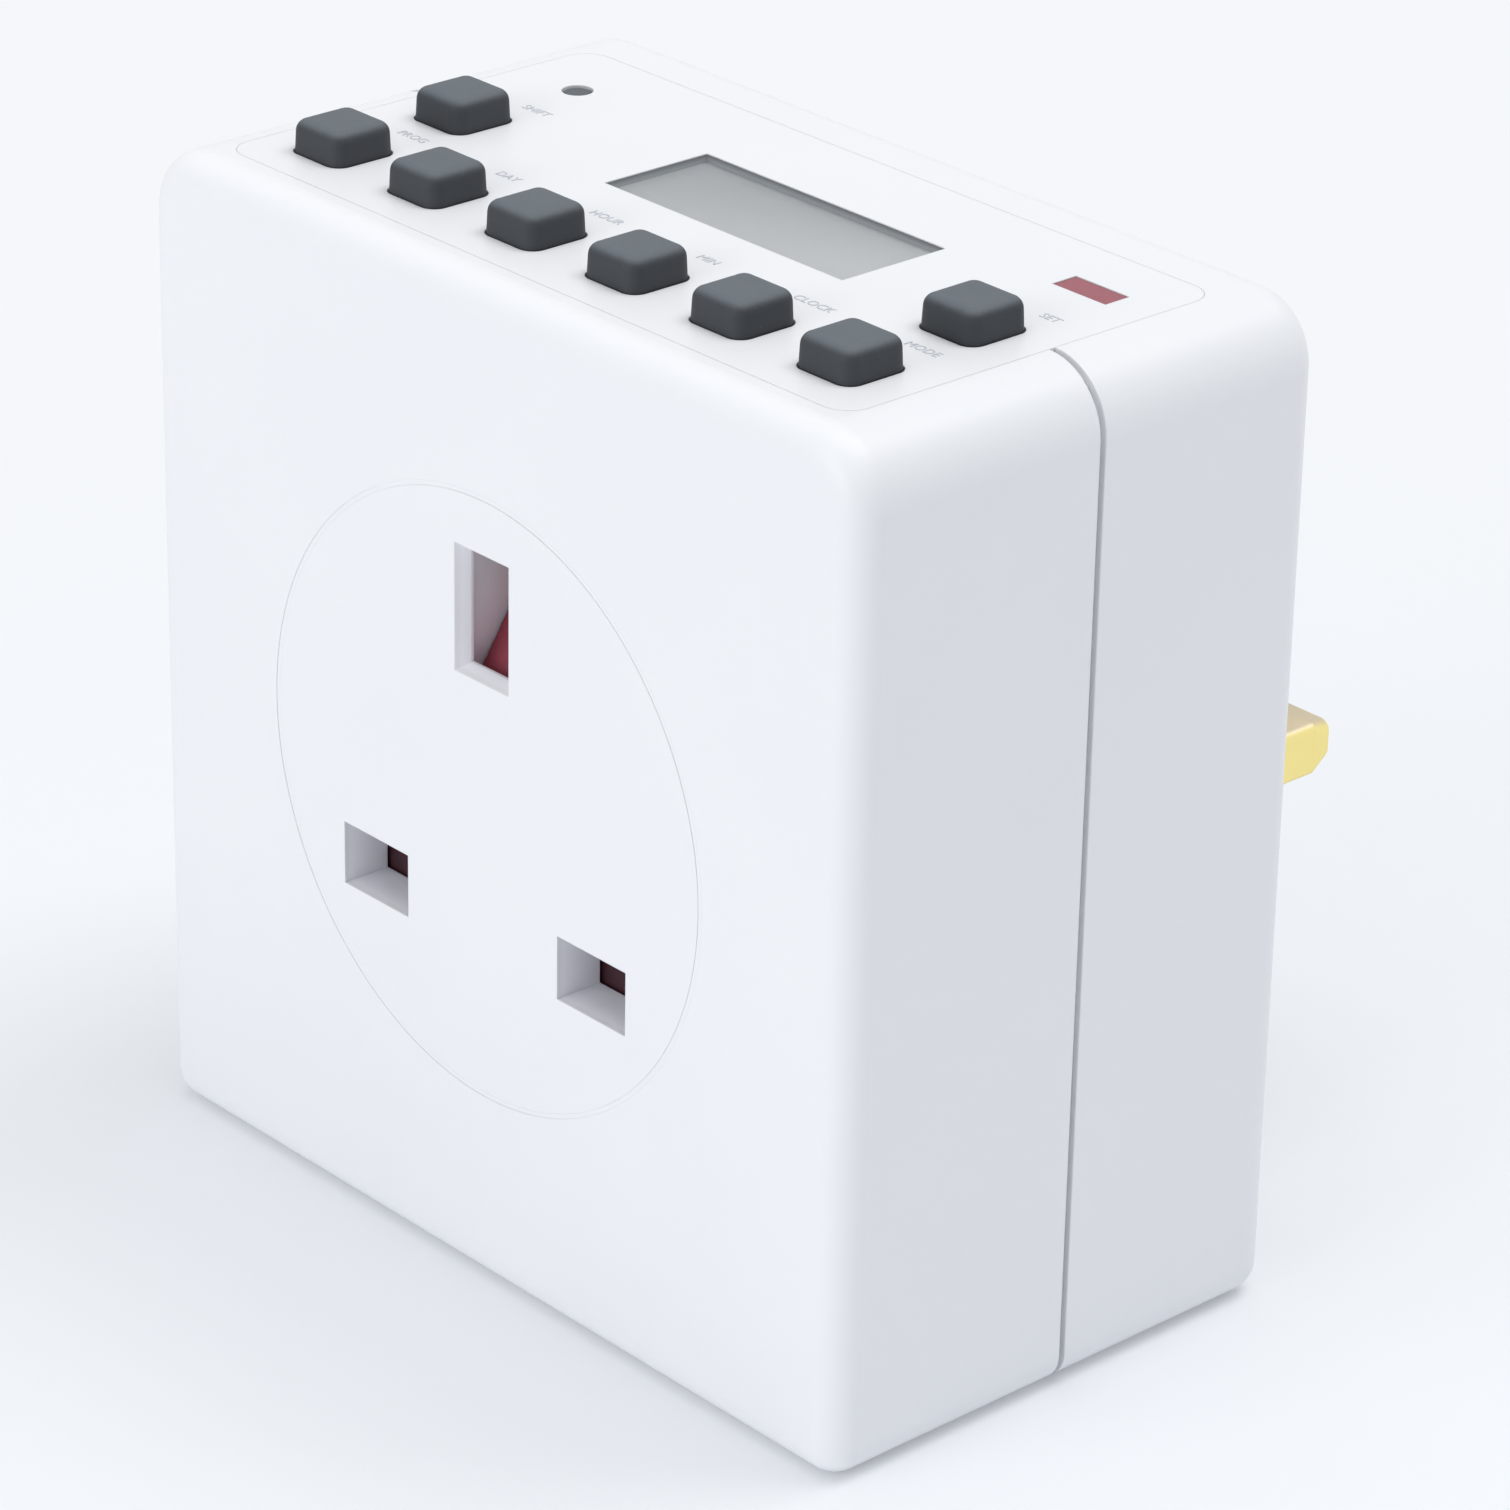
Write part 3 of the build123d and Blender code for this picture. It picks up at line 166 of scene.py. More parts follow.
# %% [markdown]
# ## What the finishes share
# Colours are written as they look on a screen, from 0 to 255, and `tone` turns them into amounts of
# light. Noise in object coordinates gives a finish its clouds and its grain at a true size, and it
# stays with a piece that moves. Moulded and pressed edges are never quite sharp. A bevel on every
# edge of the mesh would round them, but the Bevel node rounds only how an edge takes the light, so
# the solid stays as it is. Where that rounded direction leaves the true one there is an edge, and
# that is where things are rubbed in use.

# %% Colours and noise
def tone(red, green, blue):
    """Linear colour of a screen colour."""
    parts = [c / 255 for c in (red, green, blue)]
    light = [c / 12.92 if c <= 0.04045 else ((c + 0.055) / 1.055) ** 2.4 for c in parts]
    return (*light, 1.0)


def begin(name):
    """A new material and its object coordinates."""
    material = bpy.data.materials.new(name)
    material.use_nodes = True
    material.node_tree.nodes.clear()
    coordinates = material.node_tree.nodes.new("ShaderNodeTexCoord")
    return material, Field(coordinates.outputs["Object"])


def noise(place, size, detail=2.0):
    """Noise in patches about so many metres across."""
    return place.node("TexNoise", None, {"Vector": place, "Scale": 1.0 / size, "Detail": detail})


print("colours and noise ready")

# %% Edges, places and directions
bevel_samples = 8
edge_turn, edge_softness = 0.06, 0.05


def soft_edges(place, reach):
    """Direction of the surface with its edges rounded, and a mask of those edges."""
    rounded = place.node("Bevel", {"samples": bevel_samples}, {"Radius": reach})
    true = place.node("NewGeometry", output="Normal")
    agree = place.node("VectorMath", {"operation": "DOT_PRODUCT"}, {0: rounded, 1: true}, "Value")
    return rounded, (1.0 - agree).above(edge_turn, edge_softness)


def middle(name):
    """Middle of a solid's box."""
    low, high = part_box(name)
    return (low + high) / 2


def axes(place, centre):
    """Distances along X, Y and Z from a point."""
    moved = place.node("VectorMath", {"operation": "SUBTRACT"}, {0: place, 1: tuple(centre)})
    return [place.node("SeparateXYZ", None, {0: moved}, output=axis) for axis in ("X", "Y", "Z")]


def upward(place):
    """One where the surface faces straight up or down, zero where it is upright."""
    direction = place.node("NewGeometry", output="Normal")
    lift = place.node("SeparateXYZ", None, {0: direction}, output="Z")
    return lift * lift


print("edges, places and directions ready")

# %% Ending a finish and putting it on solids
def surface(place, height, depth, strength, rounded, inputs):
    """Principled shader with the given inputs and a bump of so much depth and strength."""
    bump = {"Strength": strength, "Distance": depth, "Height": height, "Normal": rounded}
    return place.node("BsdfPrincipled", None, {**inputs, "Normal": place.node("Bump", None, bump)})


def end(place, *settings):
    """Such a surface, joined to the material's output."""
    place.node("OutputMaterial", None, {"Surface": surface(place, *settings)})


def dress(material, *names):
    """Give solids their finish."""
    for name in names:
        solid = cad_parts[name]
        solid.data.materials.clear()
        solid.data.materials.append(material)
    print(material.name, "on", len(names), "solids")


print("finishes can be put on", len(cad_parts), "solids")

# %% [markdown]
# ## The studio
# The photograph has a white sweep under a large, even light. A dome of light from the world does
# half of that. Three soft boxes do the rest: one in front keeps the socket face bright, one
# straight above lights the top, and one above and behind on the right throws the faint shadow
# forwards. Their strengths come from lighting the case with one lamp at a time, solving for the
# mixture that gives the greys of the photograph, and small changes after that. The floor is a wide
# plane with a pale finish of its own, which keeps the soft shadow at the foot of the case. The
# camera sees part of it as plain bright paper, more so with the distance, so that it runs out to an
# even white. Reflections and clear plastic show that paper too, while the soft light that the floor
# throws back stays as it is.

# %% Floor
def seen(tree):
    """One for the camera's rays, and for those that it sees in metal and through glass."""
    rays = tree.nodes.new("ShaderNodeLightPath").outputs
    kinds = "Is Camera Ray", "Is Glossy Ray", "Is Transmission Ray"
    camera_ray, glossy_ray, transmission_ray = [Field(rays[kind]) for kind in kinds]
    return camera_ray + glossy_ray + transmission_ray


floor_size = 6.0
fade_middle, fade_width = 115 * mm, 75 * mm
near_share, far_share = 0.22, 0.6

bpy.ops.object.select_all(action="DESELECT")
bpy.ops.mesh.primitive_plane_add(size=floor_size, location=(0, 0, 0))
floor = bpy.context.object
floor.name = "studio_floor"
paper, place = begin("studio_paper")
clouds = noise(place, 400 * mm)
shaded = surface(place, noise(place, 0.6 * mm), 0.02 * mm, 0.1, soft_edges(place, 0.1 * mm)[0], {
    "Base Color": clouds.tint(tone(239, 242, 246), tone(242, 245, 249)),
    "Roughness": 0.85 + 0.05 * clouds})
bright = place.node("Emission", None, {"Color": tone(246, 248, 250), "Strength": 1.0})
distance = place.node("VectorMath", {"operation": "LENGTH"}, {0: place}, output="Value")
away = distance.above(fade_middle, fade_width)
mixture = {0: seen(paper.node_tree) * (near_share + far_share * away), 1: shaded, 2: bright}
place.node("OutputMaterial", None, {"Surface": place.node("MixShader", None, mixture)})
floor.data.materials.append(paper)
floor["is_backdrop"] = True
print("floor", floor_size, "m wide")

# %% Dome
world = bpy.data.worlds.new("studio_dome")
bpy.context.scene.world = world
world.use_nodes = True
world.node_tree.nodes.clear()
shown = seen(world.node_tree)
dome = shown.node("Background", None, {"Color": (0.96, 0.98, 1.02, 1.0), "Strength": 0.5})
sweep = shown.node("Background", None, {"Color": tone(243, 246, 249), "Strength": 0.9})
around = shown.node("MixShader", None, {0: shown, 1: dome, 2: sweep})
shown.node("OutputWorld", None, {"Surface": around})

print("dome ready")

# %% Lamps
lamp_white = (1.0, 0.995, 0.985)


def soft_box(name, place, size, power):
    """A square lamp that faces the case, with its size in metres and its power in watts."""
    light = bpy.data.lights.new(name, "AREA")
    light.size, light.energy, light.color = size, power, lamp_white
    lamp = bpy.data.objects.new(name, light)
    bpy.context.scene.collection.objects.link(lamp)
    lamp.location = place
    lamp.rotation_euler = (aim - lamp.location).to_track_quat("-Z", "Y").to_euler()


soft_box("box_front", (-0.1, -1.2, 0.3), size=0.8, power=5.5)
soft_box("box_above", (0.0, 0.0, 1.2), size=1.0, power=4.1)
soft_box("box_behind", (0.26, 0.45, 1.1), size=0.6, power=4.1)

bpy.context.scene.view_settings.view_transform = "Standard"
print("lamps:", len(bpy.data.lights))

# %% [markdown]
# ## White moulded plastic
# Both halves of the case and the panel are moulded in one white plastic. The tool is spark-eroded,
# which leaves a very fine even grain, and hands leave the edges a shade smoother than the flats.
# The grain is noise of a quarter of a millimetre on the bump, slow clouds keep the white from
# looking printed, and the edge mask takes away some of the roughness. The walls of the apertures
# are painted a brighter, cooler white, as painted light. They are told by their place: near the
# middle of the face and a little way behind it.

# %% Case plastic
# A brighter, cooler white painted on the aperture walls as painted light.
painted_light_white = tone(248, 249, 254)


def moulded(name, dark, light, roughness, grain, reach, painted_light_walls=None):
    """Moulded plastic: slow clouds, fine grain, polished edges, and perhaps a part painted lighter as
    painted light.
    """
    material, place = begin(name)
    clouds = noise(place, 18 * mm, 3.0)
    rounded, worn = soft_edges(place, reach)
    colour = clouds.tint(dark, light)
    # Where a mask is given, that part is painted a brighter white as painted light.
    if painted_light_walls:
        colour = painted_light_walls(place).tint(colour, painted_light_white)
    end(place, noise(place, grain), 0.02 * mm, 0.25, rounded, {
        "Base Color": colour,
        "Roughness": roughness + 0.08 * clouds - 0.07 * worn})
    return material


def aperture_walls(place):
    """One on the walls of the apertures."""
    socket_radius, radius_softness = 24 * mm, 4 * mm
    first_depth, last_depth = 0.4 * mm, 15 * mm
    x, depth, z = axes(place, (0.0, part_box("front_cover")[0].y, middle("front_cover").z))
    near_middle = 1.0 - (x * x + z * z).above(socket_radius ** 2, radius_softness ** 2)
    return near_middle * (depth.above(first_depth, 0.2 * mm) - depth.above(last_depth, 1 * mm))


case_white = moulded("case_white", tone(236, 238, 241), tone(241, 242, 244),
                     roughness=0.38, grain=0.25 * mm, reach=0.12 * mm, painted_light_walls=aperture_walls)
dress(case_white, "front_cover", "rear_cover", "control_panel")

# %% [markdown]
# ## Rubber keys
# The keys are dark grey silicone rubber. Rubber is dull, and its tops are painted much lighter than
# its sides as a painted sheen, so the colour follows how far the surface faces up. Fine dust
# also shows as pale specks, the peaks of a fine noise, kept rare by a high threshold.

# %% Silicone rubber
key_grey, place = begin("key_grey")
mottle = noise(place, 1.6 * mm, 4.0)
specks = noise(place, 0.16 * mm).above(0.76, 0.03)
rounded, worn = soft_edges(place, 0.25 * mm)
sides = mottle.tint(tone(43, 47, 52), tone(53, 57, 62))
tops = mottle.tint(tone(87, 94, 100), tone(99, 106, 112))
# Painted sheen: the tops are painted lighter than the sides.
painted_light_tone = upward(place).above(0.5, 0.4).tint(sides, tops)
# Real dust specks laid over the painted sheen.
dust_and_sheen = (0.2 * specks).tint(painted_light_tone, tone(190, 192, 194))
end(place, noise(place, 0.12 * mm), 0.02 * mm, 0.3, rounded, {
    "Base Color": dust_and_sheen, "Roughness": 0.58 + 0.14 * mottle - 0.06 * worn})
front_keys = [f"key_front_{number}" for number in range(1, 7)]
dress(key_grey, *front_keys, "key_rear_left", "key_rear_right", "keypad_mat")

# %% [markdown]
# ## Display and its window
# With no picture on it, a liquid-crystal display is a plain grey mirror with a fine matt reflector
# behind the glass. Its grey is painted deeper along its left and rear edges, as painted shade:
# `lit` grows towards the front and the right. The pane over it is clear plastic. Glass shaders stop
# most of the light on its way in and out, so the pane is a nearly clear surface instead: its alpha
# is low face on, and rises where one looks along it. Its cut edges are closed and coloured as
# painted shade, dark at the top and lighter where they meet the display.

# %% Display glass
display_grey, place = begin("display_grey")
reflector = noise(place, 0.09 * mm, 3.0)
to_right, to_rear = axes(place, middle("lcd_glass"))[:2]
# Painted shade: the grey is darker towards the left and rear edges.
lit = (0.6 * to_right - 1.4 * to_rear).above(1 * mm, 12 * mm)
end(place, reflector, 0.01 * mm, 0.2, soft_edges(place, 0.1 * mm)[0], {
    "Base Color": (0.7 * lit + 0.3 * reflector).tint(tone(168, 172, 175), tone(212, 214, 215)),
    "Roughness": 0.32 + 0.1 * reflector})
dress(display_grey, "lcd_glass")

# %% Clear window
window_clear, place = begin("window_clear")
facing = place.node("LayerWeight", None, {"Blend": 0.35}, output="Fresnel")
smears = noise(place, 5 * mm, 4.0)
cut = 1.0 - upward(place).above(0.5, 0.1)
height = axes(place, middle("display_window"))[2]
# The cut edges are coloured as painted shade, dark at the top and lighter near the display.
edge = height.above(0.05 * mm, 0.2 * mm).tint(tone(164, 169, 173), tone(104, 109, 114))
clear = smears.tint(tone(214, 218, 222), tone(224, 228, 231))
end(place, smears, 0.01 * mm, 0.05, soft_edges(place, 0.02 * mm)[0], {
    "Base Color": cut.tint(clear, edge), "Roughness": 0.06 + 0.08 * smears + 0.4 * cut,
    "Alpha": 0.05 + 0.3 * facing + cut})
dress(window_clear, "display_window")

# %% [markdown]
# ## Red window, red shutter
# The indicator shows through a small red window that is dull while the lamp is off. The shutter
# behind the apertures is moulded in red, so that anyone can see that the socket is closed. Its
# plate deep in the slots is painted dark as painted shade, and its ramp is painted lighter as
# painted light, so the colour changes at the height of the ramp's foot.

# %% Indicator window
def red_window():
    """Dull red with faint streaks and paler edges."""
    material, place = begin("indicator_red")
    streaks = noise(place, 0.8 * mm, 3.0)
    rounded, worn = soft_edges(place, 0.12 * mm)
    end(place, noise(place, 0.1 * mm), 0.01 * mm, 0.2, rounded, {
        "Base Color": (streaks + 0.3 * worn).tint(tone(142, 68, 80), tone(164, 88, 98)),
        "Roughness": 0.34 + 0.14 * streaks})
    return material


dress(red_window(), "led_window", "status_led")

# %% Shutter
def shutter_plastic():
    """Red plastic: the plate painted dark as painted shade, the ramp painted lighter as painted light.
    """
    material, place = begin("shutter_red")
    clouds = noise(place, 3 * mm, 3.0)
    ramp_height = 8 * mm
    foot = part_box("shutter")[1].z - ramp_height
    ramp = axes(place, (0.0, 0.0, foot))[2].above(0.0, 1 * mm)
    # Painted shade on the plate, painted light on the ramp.
    plate = clouds.tint(tone(52, 18, 28), tone(62, 22, 33))
    painted_light_tone = clouds.tint(tone(148, 58, 74), tone(166, 72, 88))
    rounded, worn = soft_edges(place, 0.2 * mm)
    end(place, noise(place, 0.2 * mm), 0.02 * mm, 0.25, rounded, {
        "Base Color": ramp.tint(plate, painted_light_tone), "Roughness": 0.42 + 0.08 * clouds - 0.07 * worn})
    return material


dress(shutter_plastic(), "shutter")

# %% [markdown]
# ## Brass
# Plug pins are drawn brass bar, and the contacts are brass strip. Drawing leaves fine lines along
# the length, from front to back here, so the noise is stretched along Y by a Mapping node. The
# upright sides are painted bright and the tops duller and greyer, as a painted reflection. The
# corners are a little paler still.

# %% Drawn brass
def drawn_brass():
    """Brass with fine lines along Y, with a painted reflection: bright sides and duller tops."""
    material, place = begin("pin_brass")
    along = place.node("Mapping", None, {"Vector": place, "Scale": (1.0, 0.04, 1.0)})
    lines = noise(along, 0.12 * mm, 3.0)
    tarnish = noise(place, 4 * mm, 3.0)
    rounded, worn = soft_edges(place, 0.35 * mm)
    sides = tarnish.tint(tone(250, 233, 156), tone(255, 241, 168))
    # Painted reflection: the tops are painted duller and greyer than the bright sides.
    tops = tarnish.tint(tone(206, 192, 164), tone(218, 204, 176))
    painted_light_tone = upward(place).above(0.5, 0.4).tint(sides, tops)
    end(place, lines, 0.01 * mm, 0.2, rounded, {
        "Base Color": (0.2 * worn).tint(painted_light_tone, tone(248, 234, 184)),
        "Metallic": 1.0, "Roughness": 0.44 + 0.16 * tarnish + 0.08 * lines - 0.04 * worn})
    return material


dress(drawn_brass(), "line_pin", "neutral_pin", "earth_pin",
      "line_contact", "neutral_contact", "earth_contact")

# %% [markdown]
# ## Plain mouldings inside and out
# The sleeves on the power pins are black, the contact carrier, the pin retainer and the display
# frame are off-white, and the bought-in parts on the boards each have their own colour. All of
# these are moulded or dipped plastics, so they share the case's recipe with other colours, gloss
# and grain.

# %% Other plastics
plastics = {
    # name: darker colour, lighter colour, roughness, grain and edge in millimetres, solids
    "sleeve_black": (tone(30, 31, 33), tone(40, 41, 44), 0.42, 0.2, 0.15,
                     ["line_pin_sleeve", "neutral_pin_sleeve"]),
    "inner_moulding": (tone(214, 214, 208), tone(226, 226, 221), 0.46, 0.3, 0.25,
                       ["contact_carrier", "pin_retainer", "lcd_frame"]),
    "relay_blue": (tone(30, 72, 148), tone(40, 84, 160), 0.34, 0.3, 0.2, ["relay"]),
    "dropper_yellow": (tone(206, 158, 40), tone(222, 176, 58), 0.24, 0.6, 0.2, ["dropper_capacitor"]),
    "connector_nylon": (tone(222, 216, 196), tone(232, 227, 210), 0.44, 0.3, 0.15, ["link_sockets"]),
    "plunger_grey": (tone(76, 82, 88), tone(88, 94, 100), 0.5, 0.2, 0.1, ["reset_plunger"]),
    "switch_black": (tone(34, 35, 37), tone(46, 47, 49), 0.44, 0.2, 0.12, ["reset_switch"]),
    "wire_brown": (tone(92, 52, 30), tone(108, 64, 38), 0.32, 0.5, 0.1,
                   ["line_lead_in", "line_lead_out"]),
    "wire_blue": (tone(30, 70, 150), tone(40, 84, 168), 0.32, 0.5, 0.1, ["neutral_lead"]),
}
for plastic, (dark, light, roughness, grain, reach, solids) in plastics.items():
    dress(moulded(plastic, dark, light, roughness, grain * mm, reach * mm), *solids)

# %% [markdown]
# ## Zinc-plated steel
# Screws, the shutter spring, the coin cell and the crystal's can are bright plated steel: metal
# with a faint cloudy plating, and a few fine scratches that come from thin lines of stretched
# noise.

# %% Plated steel
steel, place = begin("zinc_steel")
plating = noise(place, 1.2 * mm, 4.0)
stretch = {"Vector": place, "Rotation": (0.4, 0.2, 0.7), "Scale": (1.0, 0.06, 1.0)}
scratches = noise(place.node("Mapping", None, stretch), 0.1 * mm).above(0.68, 0.04)
rounded, worn = soft_edges(place, 0.12 * mm)
end(place, scratches, -0.01 * mm, 0.2, rounded, {
    "Base Color": plating.tint(tone(178, 182, 188), tone(206, 209, 213)), "Metallic": 1.0,
    "Roughness": 0.24 + 0.16 * plating + 0.1 * scratches - 0.06 * worn})
dress(steel, "case_screws", "carrier_screws", "retainer_screws", "power_board_screws",
      "control_board_screws", "shutter_spring", "backup_battery", "crystal")

# %% [markdown]
# ## The shutter's spring
# A thin coil spring lifts the shutter again when the plug is pulled out. Its solid can't shorten,
# so the shutter would run into it on the way down. The coil made here takes its place and can't
# shorten either. A coil can be drawn as a curve with a round bevel. Here a ring of wire is carried
# round and up by a Screw modifier instead, which is how a spring is wound and leaves a plain mesh.

# %% Sizes of the coil
seat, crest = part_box("shutter_spring")
coil_axis = middle("shutter_spring")
wire_radius = 0.16 * mm
wire_sides = 12
coil_turns = 6
steps_per_turn = 28
coil_radius = (crest.y - seat.y) / 2 - wire_radius
coil_length = crest.z - seat.z
weld_distance = 0.001 * mm
sharp_angle = radians(40)
print("coil of", coil_turns, "turns,", round(coil_length / mm, 2), "mm long")

# %% Coil spring
bpy.ops.object.select_all(action="DESELECT")
bpy.ops.mesh.primitive_circle_add(
    vertices=wire_sides, radius=wire_radius, rotation=(radians(90), 0, 0),
    location=(coil_axis.x, coil_axis.y, seat.z + wire_radius))
coil = bpy.context.object
coil.name = "shutter_coil"
bpy.ops.object.transform_apply(location=False, rotation=True, scale=False)
bpy.ops.object.mode_set(mode="EDIT")
bpy.ops.mesh.select_all(action="SELECT")
bpy.ops.transform.translate(value=(coil_radius, 0, 0))
bpy.ops.object.mode_set(mode="OBJECT")
winding = coil.modifiers.new("winding", "SCREW")
winding.iterations = coil_turns
winding.screw_offset = (coil_length - 2 * wire_radius) / coil_turns
winding.steps = winding.render_steps = steps_per_turn
bpy.ops.object.modifier_apply(modifier="winding")
bpy.ops.object.mode_set(mode="EDIT")
bpy.ops.mesh.select_all(action="SELECT")
bpy.ops.mesh.remove_doubles(threshold=weld_distance)
bpy.ops.mesh.select_all(action="SELECT")
bpy.ops.mesh.fill_holes(sides=0)
bpy.ops.mesh.select_all(action="SELECT")
bpy.ops.mesh.normals_make_consistent(inside=False)
bpy.ops.object.mode_set(mode="OBJECT")
bpy.ops.object.shade_smooth_by_angle(angle=sharp_angle)
bpy.ops.object.transform_apply(location=True, rotation=True, scale=True)
coil.data.materials.append(steel)
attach(coil, "case")
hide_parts("shutter_spring")
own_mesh(coil)
coil_size = [round(c / mm, 2) for c in coil.dimensions]
print("coil spring:", len(coil.data.polygons), "faces, box", coil_size, "mm")

# %% [markdown]
# ## Circuit boards
# A board is glass-fibre sheet with copper tracks under green lacquer. The tracks show as paler
# green lines, so a brick pattern with thin joints stands for them: its joints are the tracks. The
# sawn edge has no lacquer and shows the yellowish sheet, and the surface direction tells an edge
# from a face.

# %% Lacquered board
board, place = begin("board_green")
rows = {"offset": 0.37, "offset_frequency": 3, "squash": 1.7, "squash_frequency": 2}
joints = {"Vector": place, "Scale": 1.0 / (5.5 * mm), "Mortar Size": 0.022, "Mortar Smooth": 0.3}
tracks = place.node("TexBrick", rows, joints, output="Fac")
weave = noise(place, 0.35 * mm)
flat = upward(place).above(0.5, 0.1)
lacquer = (0.3 * weave + 0.7 * tracks).tint(tone(22, 84, 54), tone(58, 132, 82))
rounded = soft_edges(place, 0.1 * mm)[0]
end(place, tracks + 0.2 * weave, 0.03 * mm, 0.4, rounded, {
    "Base Color": flat.tint(tone(176, 158, 104), lacquer),
    "Roughness": 0.62 - 0.32 * flat + 0.06 * weave})
dress(board, "control_board", "power_board")

# %% [markdown]
# ## Parts on the boards
# The capacitor's can has a black sleeve with a pale stripe on its minus side and a bare aluminium
# top. The diodes carry a pale ring at one end, the resistor a brown band, the chip a dot at its
# first leg, the display strips fine black and grey layers, and the ribbon a red first wire. Most of
# these marks follow a distance from the middle, a corner or an edge of the part, which the box of
# its solid gives.

# %% Capacitor
def sleeve_and_can():
    """Black sleeve with a pale stripe, and a bare aluminium top."""
    material, place = begin("capacitor_sleeve")
    low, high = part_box("smoothing_capacitor")
    x, y, z = axes(place, middle("smoothing_capacitor"))
    radius, half_height = (high.x - low.x) / 2, (high.z - low.z) / 2
    bare_radius = 0.78 * radius
    inside = 1.0 - (x * x + y * y).above(bare_radius ** 2, (0.05 * radius) ** 2)
    top = inside * z.above(half_height - 0.2 * mm, 0.1 * mm)
    stripe = x.above(0.8 * radius, 0.1 * mm)
    grain = noise(place, 0.4 * mm)
    rounded, worn = soft_edges(place, 0.2 * mm)
    sleeve = stripe.tint(grain.tint(tone(26, 27, 32), tone(38, 39, 45)), tone(186, 188, 190))
    end(place, grain, 0.02 * mm, 0.2, rounded, {
        "Base Color": top.tint(sleeve, tone(206, 208, 210)), "Metallic": top,
        "Roughness": 0.36 + 0.08 * grain - 0.08 * worn})
    return material


dress(sleeve_and_can(), "smoothing_capacitor")

# %% Diodes and resistor
def ringed(name, part, body, ring, start, stop):
    """Plastic body with a ring between two distances along Y."""
    material, place = begin(name)
    along = axes(place, middle(part))[1]
    band = along.above(start, 0.05 * mm) - along.above(stop, 0.05 * mm)
    grain = noise(place, 0.3 * mm)
    rounded, worn = soft_edges(place, 0.15 * mm)
    end(place, grain, 0.02 * mm, 0.2, rounded, {
        "Base Color": band.tint(grain.tint(body, tuple(1.15 * c for c in body)), ring),
        "Roughness": 0.4 + 0.1 * grain - 0.06 * worn})
    return material


diode_black = ringed("diode_black", "rectifier_diodes", tone(34, 35, 38), tone(196, 198, 200),
                     1.2 * mm, 1.8 * mm)
dress(diode_black, "rectifier_diodes")
resistor_blue = ringed("resistor_blue", "fuse_resistor", tone(92, 142, 186), tone(120, 60, 40),
                       -0.6 * mm, 0.3 * mm)
dress(resistor_blue, "fuse_resistor")

# %% Chip
def chip_epoxy():
    """Black epoxy with a pale dot at the first leg."""
    material, place = begin("chip_epoxy")
    dot_inset, dot_radius = 1.3 * mm, 0.5 * mm
    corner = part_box("control_chip")[0]
    x, y = axes(place, (corner.x + dot_inset, corner.y + dot_inset, corner.z))[:2]
    dot = 1.0 - (x * x + y * y).above(dot_radius ** 2, (0.1 * mm) ** 2)
    grain = noise(place, 0.12 * mm)
    epoxy = grain.tint(tone(28, 29, 31), tone(42, 43, 45))
    end(place, grain, 0.02 * mm, 0.3, soft_edges(place, 0.1 * mm)[0], {
        "Base Color": (0.6 * dot).tint(epoxy, tone(150, 150, 148)),
        "Roughness": 0.5 + 0.16 * grain})
    return material


dress(chip_epoxy(), "control_chip")

# %% Display strips
def layered_strip():
    """Fine layers of black and grey rubber across the strip."""
    material, place = begin("layered_rubber")
    fine_layers = {"Vector": place, "Scale": 1500.0, "Distortion": 0.0}
    layers = place.node("TexWave", {"bands_direction": "X"}, fine_layers)
    grain = noise(place, 0.2 * mm)
    end(place, layers, 0.01 * mm, 0.3, soft_edges(place, 0.1 * mm)[0], {
        "Base Color": layers.above(0.5, 0.2).tint(tone(36, 37, 39), tone(150, 152, 150)),
        "Roughness": 0.6 + 0.1 * grain})
    return material


dress(layered_strip(), "zebra_strips")

# %% Ribbon
def ribbon():
    """Grey wires side by side, with the first one marked red."""
    material, place = begin("ribbon_grey")
    wire_width = 1.0 * mm
    to_rear = axes(place, (0.0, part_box("link_cable")[1].y, 0.0))[1]
    first = to_rear.above(-wire_width, 0.02 * mm)
    grain = noise(place, 0.5 * mm)
    grey = grain.tint(tone(132, 134, 136), tone(146, 148, 150))
    end(place, grain, 0.02 * mm, 0.15, soft_edges(place, 0.1 * mm)[0], {
        "Base Color": first.tint(grey, tone(160, 44, 40)),
        "Roughness": 0.4 + 0.1 * grain})
    return material


dress(ribbon(), "link_cable")

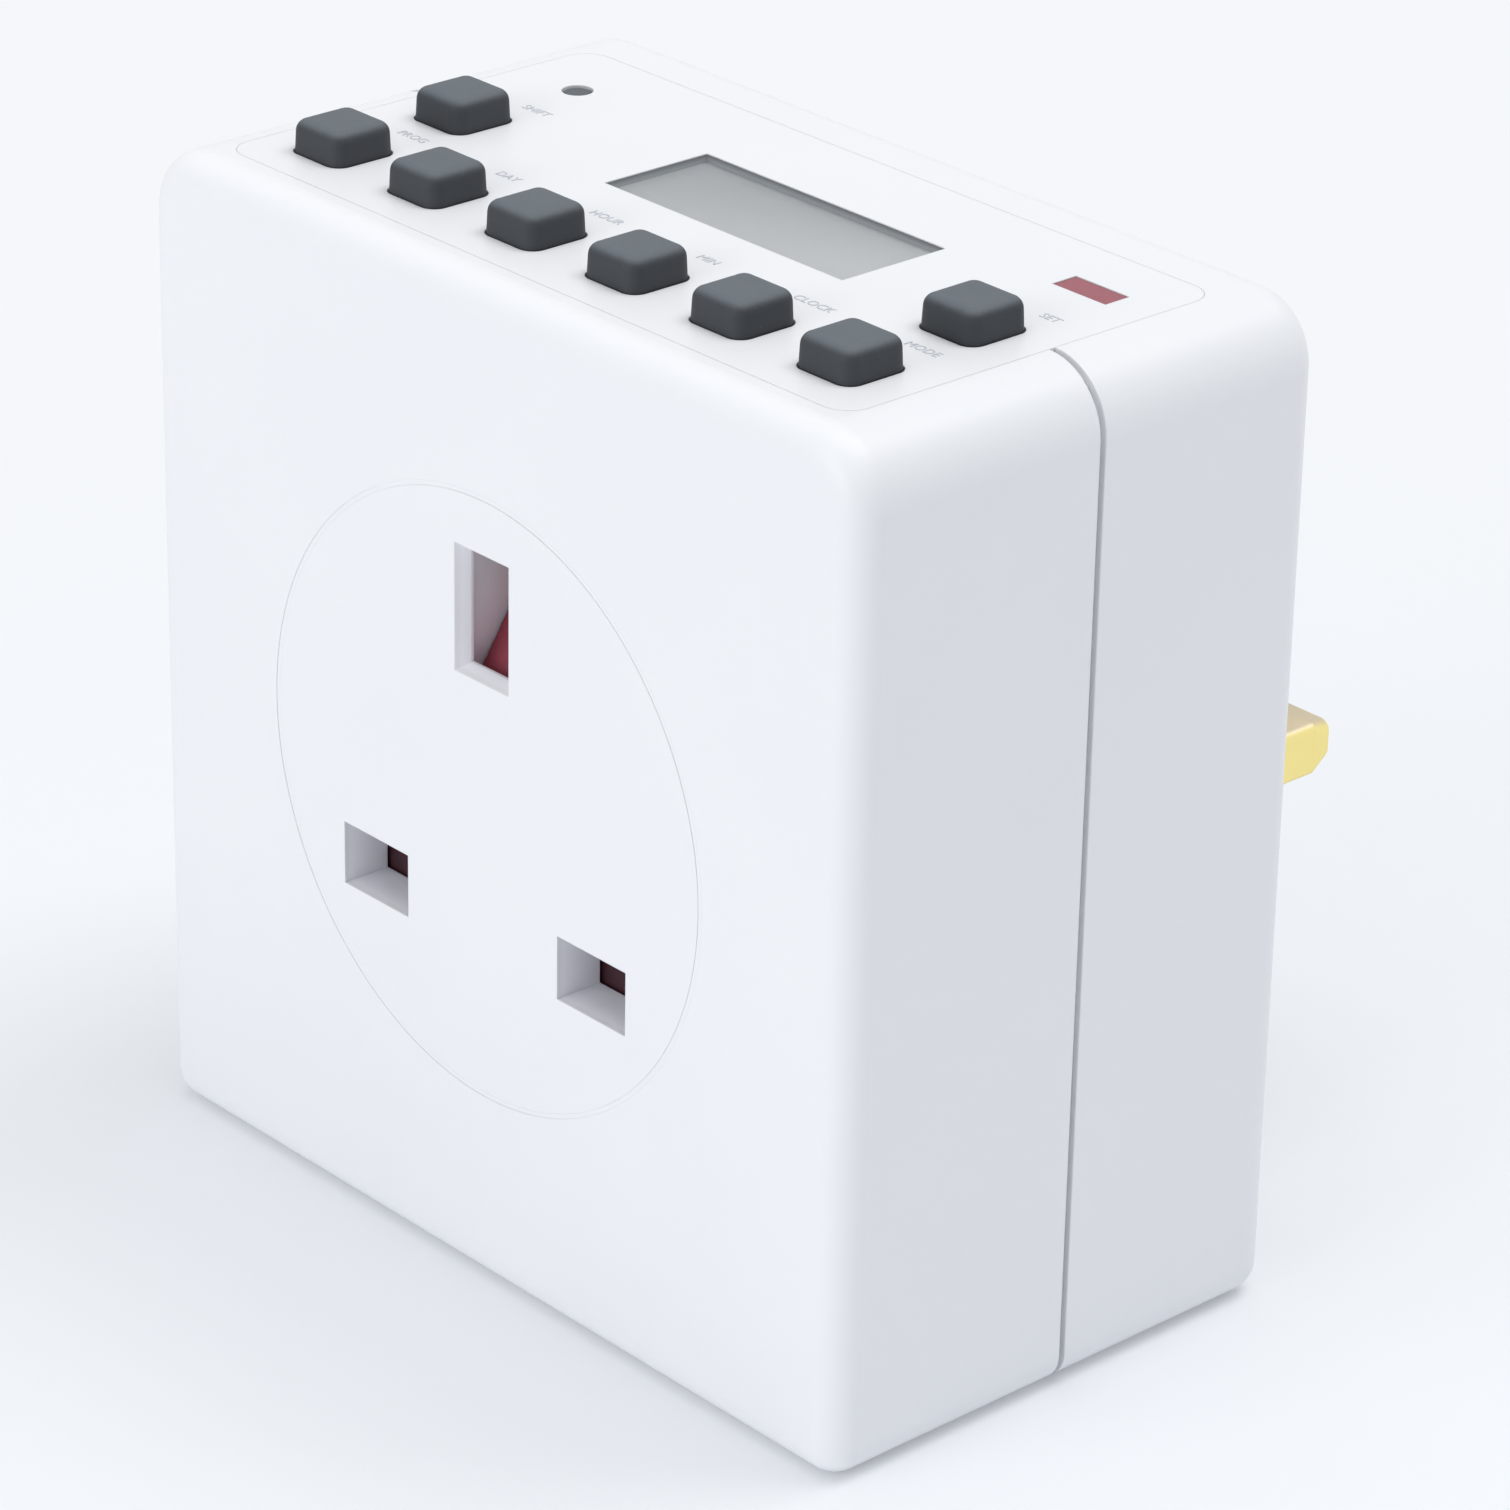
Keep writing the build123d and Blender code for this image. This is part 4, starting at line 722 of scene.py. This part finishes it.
# %% [markdown]
# ## Words on the panel
# A small pale grey word is printed behind each key. In the photograph they can't be read, so plain
# words for what such keys do take their place. Text could be painted by a texture, but letters as a
# thin mesh stay sharp from any distance: the text is laid on the panel and made a mesh, and its
# place then goes into its vertices.

# %% Ink
print_grey, place = begin("print_grey")
patchy = noise(place, 0.15 * mm)
end(place, patchy, 0.005 * mm, 0.2, soft_edges(place, 0.02 * mm)[0], {
    "Base Color": patchy.tint(tone(192, 197, 206), tone(206, 210, 217)),
    "Roughness": 0.5 + 0.1 * patchy})

print("ink ready:", print_grey.name)

# %% Printed words
ink_thickness = 0.012 * mm
panel_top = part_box("control_panel")[1].z
word_height = 1.05 * mm
letter_steps = 3
word_behind_key = 5.4 * mm
word_to_right = 0.7 * mm
rear_word_shift = Vector((1.2, -0.5, 0.0)) * mm


def print_word(name, word, x, y):
    """A word that lies on the panel with its middle at a point."""
    bpy.ops.object.select_all(action="DESELECT")
    bpy.ops.object.text_add(location=(x, y, panel_top + ink_thickness))
    text = bpy.context.object
    text.name = name
    text.data.body = word
    text.data.size = word_height
    text.data.align_x, text.data.align_y = "CENTER", "CENTER"
    text.data.extrude = ink_thickness
    text.data.resolution_u = letter_steps
    bpy.ops.object.convert(target="MESH")
    bpy.ops.object.transform_apply(location=True, rotation=True, scale=True)
    text.data.materials.clear()
    text.data.materials.append(print_grey)
    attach(text, "case")


key_words = {
    "key_front_1": "PROG", "key_front_2": "DAY", "key_front_3": "HOUR", "key_front_4": "MIN",
    "key_front_5": "CLOCK", "key_front_6": "MODE", "key_rear_left": "SHIFT", "key_rear_right": "SET"}
for key, word in key_words.items():
    spot = middle(key) + (rear_word_shift if "rear" in key else Vector())
    print_word(f"word_{word.lower()}", word, spot.x + word_to_right, spot.y + word_behind_key)
print("words printed:", len(key_words))

# %% [markdown]
# ## Size and finish
# The dressed model has to keep the size of the solids, so the growth of its box over the box of
# the solids is printed.

# %% Print how much the box grew
dressed_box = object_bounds()
growth = (dressed_box[1] - dressed_box[0]) - (cad_box[1] - cad_box[0])
print("box grew by", [round(c / mm, 3) for c in growth], "mm")
